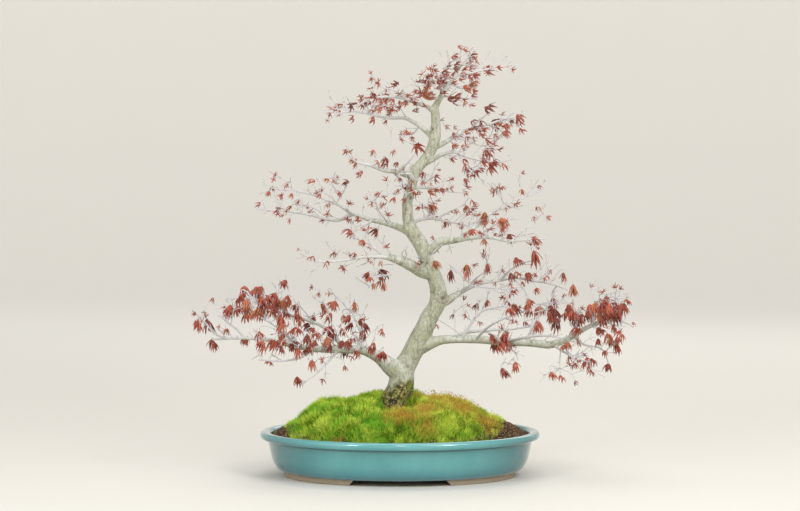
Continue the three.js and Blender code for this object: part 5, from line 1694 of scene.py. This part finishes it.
def places_on(route, spacing, owner):
    """The places on a route that a twig can start from, with the way that the wood grows."""
    rows = np.array([tuple(row)[:3] for row in route], float)
    places = []
    for low, high in zip(rows[:-1], rows[1:]):
        length = np.linalg.norm(high - low)
        steps = max(math.floor(length / spacing + 0.5), 1)
        for step in range(1, steps + 1):
            spot = low + (high - low) * (step - 0.4) / steps
            places.append((spot, (high - low) / length, owner))
    return places


def twig_points(start, tuft):
    """A twig's points, from a place on the wood, over a bend, down to the leaf's hub."""
    gap = np.linalg.norm(tuft.hub - start)
    if gap < SHORT_TWIG:
        return [start, tuft.hub]
    bend = tuft.hub - tuft.axis * min(0.3 * gap, 9)
    if gap < LONG_TWIG:
        return [start, bend, tuft.hub]
    return [start, (start + bend) / 2 + (0, 0, 0.08 * gap), bend, tuft.hub]


def grow_twigs(limb, tufts, other_wood, other_tufts):
    """Joins every tuft of a limb to the nearest fitting wood, the nearest tufts first."""
    grown = []
    for tuft in sorted(tufts, key=lambda tuft: gap_to_wood(tuft.hub, limb.wood)):
        spots = np.array([place[0] for place in limb.places])
        along = np.array([place[1] for place in limb.places])
        ways = tuft.hub - spots
        gaps = np.linalg.norm(ways, axis=1)
        turn = np.maximum(0.35 - (ways * along).sum(1) / gaps, 0)
        cost = gaps + TURN_COST * turn + np.where(gaps < NEAR_GAP, NEAR_COST, 0)
        for chosen in np.argsort(cost, kind="stable")[:TWIG_TRIES]:
            spot, _, owner = limb.places[chosen]
            points = twig_points(spot, tuft)
            probes = [probe for probe, _, _ in places_on(points, PROBE_SPACING, None)]
            if all(
                gap_to_wood(probe, other_wood) > TIP_RADIUS + CLEAR
                and gap_to_tufts(probe, other_tufts) > TIP_RADIUS
                for probe in probes
            ):
                twig = {"tuft": tuft, "points": points, "parent": owner, "carried": 1}
                while owner:
                    owner["carried"] += 1
                    owner = owner["parent"]
                grown.append(twig)
                limb.places += places_on(points[:-1], TWIG_SPACING, twig)
                break
    return grown


def massed(limb, draw):
    """The tufts of a limb's masses, scattered evenly over each."""
    more = []
    for x, z, half_width, half_height, count, size in MASSES.get(limb.name, ()):
        for number in range(count):
            lean = GOLDEN_ANGLE * number + draw.uniform(0, 0.6)
            out = math.sqrt((number + 0.5) / count)
            wide = size * draw.uniform(0.8, 1.1)
            spot_x, spot_z = out * half_width * math.cos(lean), out * half_height * math.sin(lean)
            more.append((x + spot_x, z + spot_z, wide, wide * draw.uniform(0.95, 1.25)))
    return more


class Sprig:
    """A bare twig: slightly crooked, swollen at its nodes, perhaps with small leaves."""

    def __init__(self, draw, start, way, length, thick):
        count = max(round(length / SPRIG_STEP), 3)
        bend = draw.normal(0, 0.32, 3) + (0, 0, 0.15)
        self.shares = np.linspace(0, 1, count + 1)
        ways = unit(way + np.outer(self.shares, bend))
        self.ways = unit(ways + draw.normal(0, 0.07, ways.shape))
        steps = np.cumsum(self.ways[:-1] * length / count, axis=0)
        self.line = start + np.vstack([np.zeros(3), steps])
        self.radii = thick * (1 - 0.55 * self.shares)
        self.radii[FIRST_NODE::NODE_GAP] *= 1.22
        self.length = length

    def forks(self, draw):
        """Two opposite side twigs from one of its nodes."""
        count = len(self.line) - 1
        node = draw.integers(1, max(count // NODE_GAP, 2))
        knot = min(FIRST_NODE + NODE_GAP * node, count - 1)
        turn = unit(np.cross(self.ways[knot], draw.normal(0, 1, 3)))
        for side in (-1, 1):
            way = unit(self.ways[knot] + side * 0.75 * turn)
            length = self.length * draw.uniform(0.28, 0.5)
            yield Sprig(draw, self.line[knot], way, length, self.radii[knot] * 0.8)

    def leaf_spots(self, draw, share):
        """Where small leaves open on it: in pairs at its nodes, and at its tip."""
        end = len(self.line) - 1
        for knot in (*range(FIRST_NODE + NODE_GAP, end - 1, NODE_GAP), end):
            if draw.random() < (share if knot == end else share * 0.4):
                turn = unit(np.cross(self.ways[knot], draw.normal(0, 1, 3)))
                for side in (-1, 1):
                    out = 0.7 * self.ways[knot] + side * 0.8 * turn - (0, 0, 0.25)
                    yield self.line[knot], unit(out), draw.uniform(7.5, 12.5)


def grow_sprigs(limb, density, draw):
    """The limb's sprigs, density of them to 100 mm of its wood."""
    wood = np.linalg.norm(limb.wood[:, 3:6] - limb.wood[:, :3], axis=1).sum()
    sprigs = []
    for _ in range(round(density * wood / 100)):
        spot, along, _ = limb.places[draw.integers(len(limb.places))]
        out = unit(np.array((spot[0] - CROWN_X, spot[1], 0)) + 1e-6)
        side = unit(np.cross(along, draw.normal(0, 1, 3)))
        way = unit(0.55 * along + 0.75 * side + 0.3 * out + (0, 0, 0.35))
        length = draw.uniform(12, 38) * (1 if draw.random() < 0.5 else 0.6)
        sprig = Sprig(draw, spot, way, length, draw.uniform(0.55, 0.85))
        tip = sprig.line[-1]
        if TREE_LEFT < tip[0] < TREE_RIGHT and tip[2] < TREE_TOP:
            sprigs += [sprig, *(sprig.forks(draw) if length > FORKED_SPRIG else ())]
    return sprigs


@lru_cache(maxsize=1)
def grow_limbs(density):
    """All limbs with their tufts, twigs and sprigs: first as in the solids, then the rest."""
    limbs = [Limb(number, name, data) for number, (name, data) in enumerate(LIMBS.items())]
    draw = np.random.default_rng(MASS_SEED)
    for limb in limbs:
        limb.close = massed(limb, draw)
    placed = []
    grown = np.zeros((0, 7))
    for kind, seed, own_clear, forward in TUFT_PASSES:
        before = len(placed)
        place_tufts(limbs, kind, seed, own_clear, forward, placed)
        for limb in limbs:
            own = [tuft for tuft in placed[before:] if tuft.limb is limb]
            others = [tuft for tuft in placed if tuft.limb is not limb]
            wood = np.vstack([foreign_wood(limb, limbs), grown])
            twigs = grow_twigs(limb, own, wood, others)
            limb.twigs += twigs
            for twig in twigs:
                rows = [(*point, 1.1) for point in twig["points"]]
                grown = np.vstack([grown, pieces_of(rows)])
    for limb in limbs:
        draw = np.random.default_rng(SPRIG_SEED + limb.number)
        limb.sprigs = grow_sprigs(limb, density, draw)
    return limbs


# ---- The tree's pieces ----


def limb_line(limb, root):
    """The smooth middle line of a limb's root in the trunk, or of the rest of the limb."""
    line, radii = smooth_route(limb.route)
    cut = np.linalg.norm(line - limb.stub[-1][:3], axis=1).argmin()
    if root:
        radii[cut:cut + 2] *= (0.95, 0.85)
        return line[:cut + 2], radii[:cut + 2]
    radii[cut - 2:cut + 2] *= (0.94, 0.98, 1.02, 1.02)
    return line[cut - 2:], radii[cut - 2:]


class BONSAI_OT_trunk(Operator):
    """Make the trunk, with the roots of all the limbs run softly into it"""

    bl_idname = "bonsai.trunk"
    bl_label = "Trunk"

    def execute(self, context):
        stem = smooth_route(TRUNK)
        s = context.scene.bonsai_tree
        roots = [limb_line(limb, root=True) for limb in grow_limbs(s.bare_twigs)]
        tubes = [tube(*stem, 40, foot_relief), *[tube(*root, 20) for root in roots]]
        wood = fuse("trunk_wood", tubes, TRUNK_VOXEL, 5)
        bark_relief(wood, nearest_radius([stem, *roots]))
        give(wood, bark_finish(s), "bark", "trunk")
        return {"FINISHED"}


class BONSAI_OT_limbs(Operator):
    """Make the wood of every limb, with its shoots, its leafy twigs and its bare twigs"""

    bl_idname = "bonsai.limbs"
    bl_label = "Limbs"

    def execute(self, context):
        s = context.scene.bonsai_tree
        finish = bark_finish(s, "young_bark")
        for limb in grow_limbs(s.bare_twigs):
            lines = [limb_line(limb, root=False), *map(smooth_route, limb.routes[1:])]
            shape = Shape("ripe")
            for line, radii in lines:
                shape.add(*tube(line, radii * 0.95, 8))
            self.leafy_twigs(limb, shape)
            for sprig in limb.sprigs:
                ripe = np.clip((np.repeat(sprig.shares, 5) - 0.55) * 2.4, 0, 1)
                shape.add(*tube(sprig.line, sprig.radii, 5), ripe=np.r_[ripe, ripe[0], ripe[-1]])
            if limb.number == 0:
                for route in LOOSE_TWIGS:
                    shape.add(*tube(*smooth_route(route), 6))
            thick = [self.thick_part(*row) for row in lines]
            skin = fuse("skin", [tube(*row, 16) for row in thick if row], LIMB_VOXEL, 2)
            wood = join([skin, shape.piece("twigs")])
            wood.name = f"{limb.name}_wood"
            smooth_shading(wood)
            rows = [[(*point, 0.6) for point in twig["points"]] for twig in limb.twigs]
            twig_lines = [smooth_route(row, 4) for row in rows]
            bark_relief(wood, nearest_radius([*lines, *twig_lines]), bleach=0.6)
            give(wood, finish, "bark", f"limb_{limb.name}")
        return {"FINISHED"}

    def thick_part(self, line, radii):
        """The stretch of a limb or shoot that is thick enough for a soft skin."""
        count = np.argmax(np.r_[radii < SKIN_LEAST, True])
        return (line[:count], radii[:count] + 0.1) if count > 3 else None

    def leafy_twigs(self, limb, shape):
        """The twigs that carry tufts, each as thick as the leaves on it need."""
        for twig in limb.twigs:
            thick = 0.6 * math.sqrt(twig["carried"])
            radii = np.linspace(thick, 0.45, len(twig["points"]))
            rows = [(*point, radius) for point, radius in zip(twig["points"], radii)]
            line, radii = smooth_route(rows, 3)
            line[1:-1] += 0.5 * np.stack([rough(line, 13, 1, seed) for seed in (1, 5, 9)], 1)[1:-1]
            shape.add(*tube(line, radii, 5))


# ---- Leaves ----

# A leaf's lobes as (azimuth in degrees, length), with its forms as (lobes, middle lobe's mean
# angle from the leaf's axis, how far it curls to either side of that, lobe's widest part).
SEVEN_LOBES = [(-146, 0.5), (-100, 0.8), (-50, 0.95), (0, 1), (49, 0.94), (98, 0.8), (147, 0.5)]
FIVE_LOBES = [(-128, 0.62), (-66, 0.9), (0, 1), (66, 0.9), (128, 0.62)]
THREE_LOBES = [(-78, 0.84), (0, 1), (80, 0.8)]
LEAF_FORMS = {
    "umbrella": (SEVEN_LOBES, 36, 36, 0.21),
    "bell": (FIVE_LOBES, 46, 33, 0.235),
    "star": (FIVE_LOBES, 56, 30, 0.21),
    "claw": (THREE_LOBES, 42, 34, 0.24),
}
LOBE_SECTIONS = [(0.0, 0.35), (0.2, 0.82), (0.45, 1.0), (0.76, 0.58)]  # (along it, width)
LEAF_VARIANTS = 3
LEAF_SHARES = (0.92, 0.8, 0.7)  # the sizes of a tuft's leaves, to the whole tuft
BIG_TUFT = 19.0  # has a third leaf
SMALL_LEAF = 13.0
HANGING = 0.65  # the droop from which a limb's leaves hang closed
WARM_SHARE = 0.16


def straight_lobe():
    """A leaf's lobe, one long and one wide: a thin blade with a ridge, ending in a point."""
    deselect_all()
    bpy.ops.mesh.primitive_circle_add(vertices=3, radius=1, fill_type="NGON")
    lobe = bpy.context.object
    edit(lobe)
    at, width = LOBE_SECTIONS[0]
    bpy.ops.transform.resize(value=(width / math.sqrt(3), 1 / 1.5, 1))
    for next_at, next_width in [*LOBE_SECTIONS[1:], (1.0, 0.05)]:
        bpy.ops.mesh.extrude_region_move(TRANSFORM_OT_translate={"value": (0, 0, next_at - at)})
        bpy.ops.transform.resize(
            value=(next_width / width, 1, 1), center_override=(0, 0, next_at),
        )
        at, width = next_at, next_width
    bpy.ops.mesh.merge(type="CENTER")
    bpy.ops.mesh.select_all(action="SELECT")
    bpy.ops.mesh.normals_make_consistent(inside=False)
    close_edit()
    return take_apart(lobe)


def leaf_kind(form, lobe, draw):
    """A leaf of unit length, curled round its axis, which is Z, with its hub at the origin."""
    lobes, mean, curl, widest = LEAF_FORMS[form]
    points, faces = lobe
    kind = Shape("ridge", "reach")
    for azimuth, length in lobes:
        azimuth = math.radians(azimuth + draw.uniform(-9, 9))
        length *= draw.uniform(0.9, 1.08)
        middle = math.radians(mean + draw.uniform(-9, 9))
        half = math.radians(curl * draw.uniform(0.8, 1.2))
        t = points[:, 2]
        angle = middle + half * (1 - 2 * t)
        out = (np.cos(angle) - math.cos(middle + half)) / (2 * half) * length
        down = (math.sin(middle + half) - np.sin(angle)) / (2 * half) * length
        side = -points[:, 0] * widest * (0.5 + 0.5 * length)
        lift = 0.035 * (points[:, 1] - 0.4) - abs(side) * 0.1
        out, down = out + lift * np.cos(angle), down - lift * np.sin(angle)
        twist = draw.uniform(-0.25, 0.25) * t
        down = down + side * twist
        cosine, sine = math.cos(azimuth), math.sin(azimuth)
        flat = np.stack([out * cosine - side * sine, out * sine + side * cosine, down], 1)
        kind.add(flat, faces, ridge=(points[:, 1] > 0.1).astype(float), reach=t)
    whole = np.concatenate(kind.points)
    values = {name: np.concatenate(kept) for name, kept in kind.values.items()}
    return whole, kind.faces, values


class BONSAI_OT_leaves(Operator):
    """Hang the leaves on every limb's twigs"""

    bl_idname = "bonsai.leaves"
    bl_label = "Leaves"

    def execute(self, context):
        s = context.scene.bonsai_tree
        draw = np.random.default_rng(LEAF_SEED)
        lobe = straight_lobe()
        kinds = {}
        for form in LEAF_FORMS:
            kinds[form] = [leaf_kind(form, lobe, draw) for _ in range(LEAF_VARIANTS)]
        finish = leaf_finish(s)
        for limb in grow_limbs(s.bare_twigs):
            shape = Shape("hue", "ridge", "reach", "stalk")
            for twig in limb.twigs:
                self.tuft(twig["tuft"], kinds, shape, draw)
            leafy = 0.08 + 0.22 * (1 - limb.droop)
            for sprig in limb.sprigs:
                for spot, way, size in sprig.leaf_spots(draw, leafy):
                    self.leaf(limb, spot, way, 0.9 * size, size, self.hue(draw), kinds, shape, draw)
            leaves = shape.piece(f"{limb.name}_leaves")
            give(leaves, finish, "leaves", f"limb_{limb.name}")
        return {"FINISHED"}

    def hue(self, draw):
        """A leaf's place on the row of leaf colours: a few are warm, the rest about red."""
        if draw.random() < WARM_SHARE:
            return draw.uniform(0.62, 1.0)
        return np.clip(draw.normal(0.4, 0.2), 0, 0.85)

    def tuft(self, tuft, kinds, shape, draw):
        """Two or three leaves that fill the tuft's width and height, each on its own stalk."""
        size = max(tuft.width, tuft.height)
        hue = self.hue(draw)
        side = unit(np.cross(tuft.axis, (0.0, 1.0, 0.0)))
        deep = np.cross(side, tuft.axis)
        for number, share in enumerate(LEAF_SHARES[:3 if size > BIG_TUFT else 2]):
            hub = tuft.middle - tuft.axis * 0.44 * tuft.height
            if number:
                lean = draw.uniform(0, 2 * math.pi)
                away = 0.24 * tuft.width * (math.cos(lean) * side + math.sin(lean) * deep)
                hub = hub + away + tuft.axis * draw.uniform(0.05, 0.36) * tuft.height
            axis = unit(tuft.axis + draw.normal(0, 0.14, 3))
            own_hue = np.clip(hue + draw.normal(0, 0.1), 0, 1)
            width, height = share * tuft.width, share * tuft.height
            self.leaf(tuft.limb, hub, axis, width, height, own_hue, kinds, shape, draw)
            self.stalk(tuft.hub, hub, axis, own_hue, shape)

    def leaf(self, limb, hub, axis, width, height, hue, kinds, shape, draw):
        """A leaf with its hub at a place, open round an axis to a width and height."""
        opening = math.degrees(math.atan2(width / 2, 0.85 * height))
        if max(width, height) < SMALL_LEAF:
            form = "claw" if draw.random() < 0.6 else "bell"
        elif limb.droop > HANGING:
            form = "umbrella" if opening < 42 or draw.random() < 0.5 else "bell"
        else:
            form = "bell" if draw.random() < 0.8 else "star"
        points, faces, values = kinds[form][draw.integers(LEAF_VARIANTS)]
        spread = np.hypot(points[:, 0], points[:, 1]).max()
        across = width / 2 / spread
        along = 0.9 * height / points[:, 2].max()
        even = math.sqrt(across * along)
        across, along = np.clip((across, along), 0.78 * even, 1.28 * even)
        first = unit(np.cross(axis, draw.normal(0, 1, 3)))
        basis = np.stack([first * across, np.cross(axis, first) * across, axis * along])
        shape.add(points @ basis + hub, faces, hue=hue, **values)

    def stalk(self, start, hub, axis, hue, shape):
        """A thin stalk that arches from the twig's end up to the leaf's hub."""
        gap = np.linalg.norm(hub - start)
        if gap < 0.5:
            return
        bend = (start + hub) / 2 - axis * 0.22 * gap
        end = hub + axis * 0.4
        line, radii = smooth_route([(*start, 0.42), (*bend, 0.36), (*end, 0.34)], 2.5)
        points, faces = tube(line, radii, 3)
        shape.add(points, faces, hue=hue, ridge=1.0, stalk=1.0)


# ---- Stage ----


def soft_box(name, place, aim_height, width, height, power, colour):
    """A rectangular light at a place, turned to shine at a height over the frame's middle."""
    light = bpy.data.lights.new(name, "AREA")
    light.shape = "RECTANGLE"
    light.size, light.size_y = width, height
    light.energy = power
    light.color = colour
    lamp = bpy.data.objects.new(name, light)
    lamp.location = place
    ray = Vector((0, 0, aim_height)) - Vector(place)
    lamp.rotation_euler = ray.to_track_quat("-Z", "Y").to_euler()
    lamp.visible_camera = False
    bpy.context.scene.collection.objects.link(lamp)


# The lights, in metres, as (name, place, height they shine at, width, height, power, colour).
DAYLIGHT = (0.96, 0.98, 1.0)
LIGHTS = [
    ("key", (1.5, -2.1, 2.3), 0.35, 1.6, 1.6, 30, (1.0, 0.97, 0.92)),
    ("fill", (-2.2, -1.9, 1.5), 0.35, 1.8, 1.8, 10, (0.93, 0.96, 1.0)),
    ("back", (0.7, 2.5, 1.9), 0.35, 1.8, 1.4, 12, (1.0, 0.98, 0.95)),
    ("top", (0, 0.2, 2.6), 0.2, 1.6, 1.2, 16, (1.0, 0.99, 0.96)),
    ("window", (-1.62, -2.45, 1.9), 0.2, 0.42, 1.5, 23, DAYLIGHT),
    ("window", (0, -2.9, 2.3), 0.2, 0.42, 1.5, 12, DAYLIGHT),
    ("window", (1.62, -2.45, 1.9), 0.2, 0.42, 1.5, 21, DAYLIGHT),
]
SKY_COLOUR = (1.0, 0.985, 0.955, 1.0)
SKY_STRENGTH = 0.43
LENS = 108.8  # millimetres, for a picture SENSOR wide
SENSOR = 36.0
CAMERA_TILT = 2.93  # degrees down
# The floor's radii and heights, in metres, out from the edge of its flat middle.
FLOOR_PROFILE = [
    (3.0, 0.0), (6.0, 0.0), (6.4, 0.04), (6.8, 0.16), (7.15, 0.4), (7.4, 0.75), (7.5, 1.2),
    (7.5, 3.0),
]


class BONSAI_OT_stage(Operator):
    """Set up the floor, the lights and the camera"""

    bl_idname = "bonsai.stage"
    bl_label = "Stage"

    def execute(self, context):
        s = context.scene.bonsai_stage
        self.floor(s)
        for light in LIGHTS:
            soft_box(*light)
        world = bpy.data.worlds.new("daylight")
        world.use_nodes = True
        sky = world.node_tree.nodes["Background"]
        sky.inputs["Color"].default_value = SKY_COLOUR
        sky.inputs["Strength"].default_value = SKY_STRENGTH
        context.scene.world = world
        lens = bpy.data.cameras.new("camera")
        lens.lens, lens.sensor_width = LENS, SENSOR
        lens.clip_end = 50.0
        camera = bpy.data.objects.new("camera", lens)
        camera.location = (POT_X * MM, -s.camera_distance, s.camera_height)
        camera.rotation_euler = (math.radians(90 - CAMERA_TILT), 0, 0)
        context.scene.collection.objects.link(camera)
        context.scene.camera = camera
        context.scene.view_settings.view_transform = "Standard"
        return {"FINISHED"}

    def floor(self, s):
        """A wide round floor that sweeps up to a rim, so that no view ends at an edge."""
        deselect_all()
        radius, height = FLOOR_PROFILE[0]
        bpy.ops.mesh.primitive_circle_add(vertices=128, radius=radius, fill_type="NGON")
        floor = bpy.context.object
        floor.name = "floor"
        edit(floor)
        for next_radius, next_height in FLOOR_PROFILE[1:]:
            share = next_radius / radius
            draw_up(next_height - height, (share, share), (0, 0, next_height))
            radius, height = next_radius, next_height
        close_edit()
        smooth_shading(floor)
        floor.data.materials.append(floor_finish(s))
        floor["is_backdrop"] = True


# ---- Panel and run ----


class BONSAI_PT_tree(Panel):
    """The bonsai's settings and steps"""

    bl_idname = "BONSAI_PT_tree"
    bl_label = "Bonsai maple"
    bl_space_type = "VIEW_3D"
    bl_region_type = "UI"
    bl_category = "Bonsai"

    def draw(self, context):
        for name, settings in SETTINGS.items():
            box = self.layout.box()
            for prop in settings.__annotations__:
                box.prop(getattr(context.scene, name), prop)
        for step in STEPS:
            self.layout.operator(step.bl_idname)


SETTINGS = {
    "bonsai_stage": StageSettings,
    "bonsai_pot": PotSettings,
    "bonsai_ground": GroundSettings,
    "bonsai_tree": TreeSettings,
}
STEPS = [
    BONSAI_OT_stage, BONSAI_OT_pot, BONSAI_OT_soil, BONSAI_OT_moss, BONSAI_OT_trunk,
    BONSAI_OT_limbs, BONSAI_OT_leaves,
]


def register():
    for cls in (*SETTINGS.values(), *STEPS, BONSAI_PT_tree):
        bpy.utils.register_class(cls)
    for name, settings in SETTINGS.items():
        setattr(bpy.types.Scene, name, PointerProperty(type=settings))


def unregister():
    for name in SETTINGS:
        delattr(bpy.types.Scene, name)
    for cls in reversed((*SETTINGS.values(), *STEPS, BONSAI_PT_tree)):
        bpy.utils.unregister_class(cls)


def main():
    """Builds everything in order, and works out the two boxes' sizes."""
    register()
    bpy.ops.bonsai.stage()
    bpy.ops.bonsai.pot()
    bpy.ops.bonsai.soil()
    bpy.ops.bonsai.moss()
    bpy.ops.bonsai.trunk()
    bpy.ops.bonsai.limbs()
    bpy.ops.bonsai.leaves()
    boxes = {"cad": CAD_BOX, "visual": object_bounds()}
    plain = {name: [[float(v) for v in corner] for corner in box] for name, box in boxes.items()}


if __name__ == "__main__":
    main()
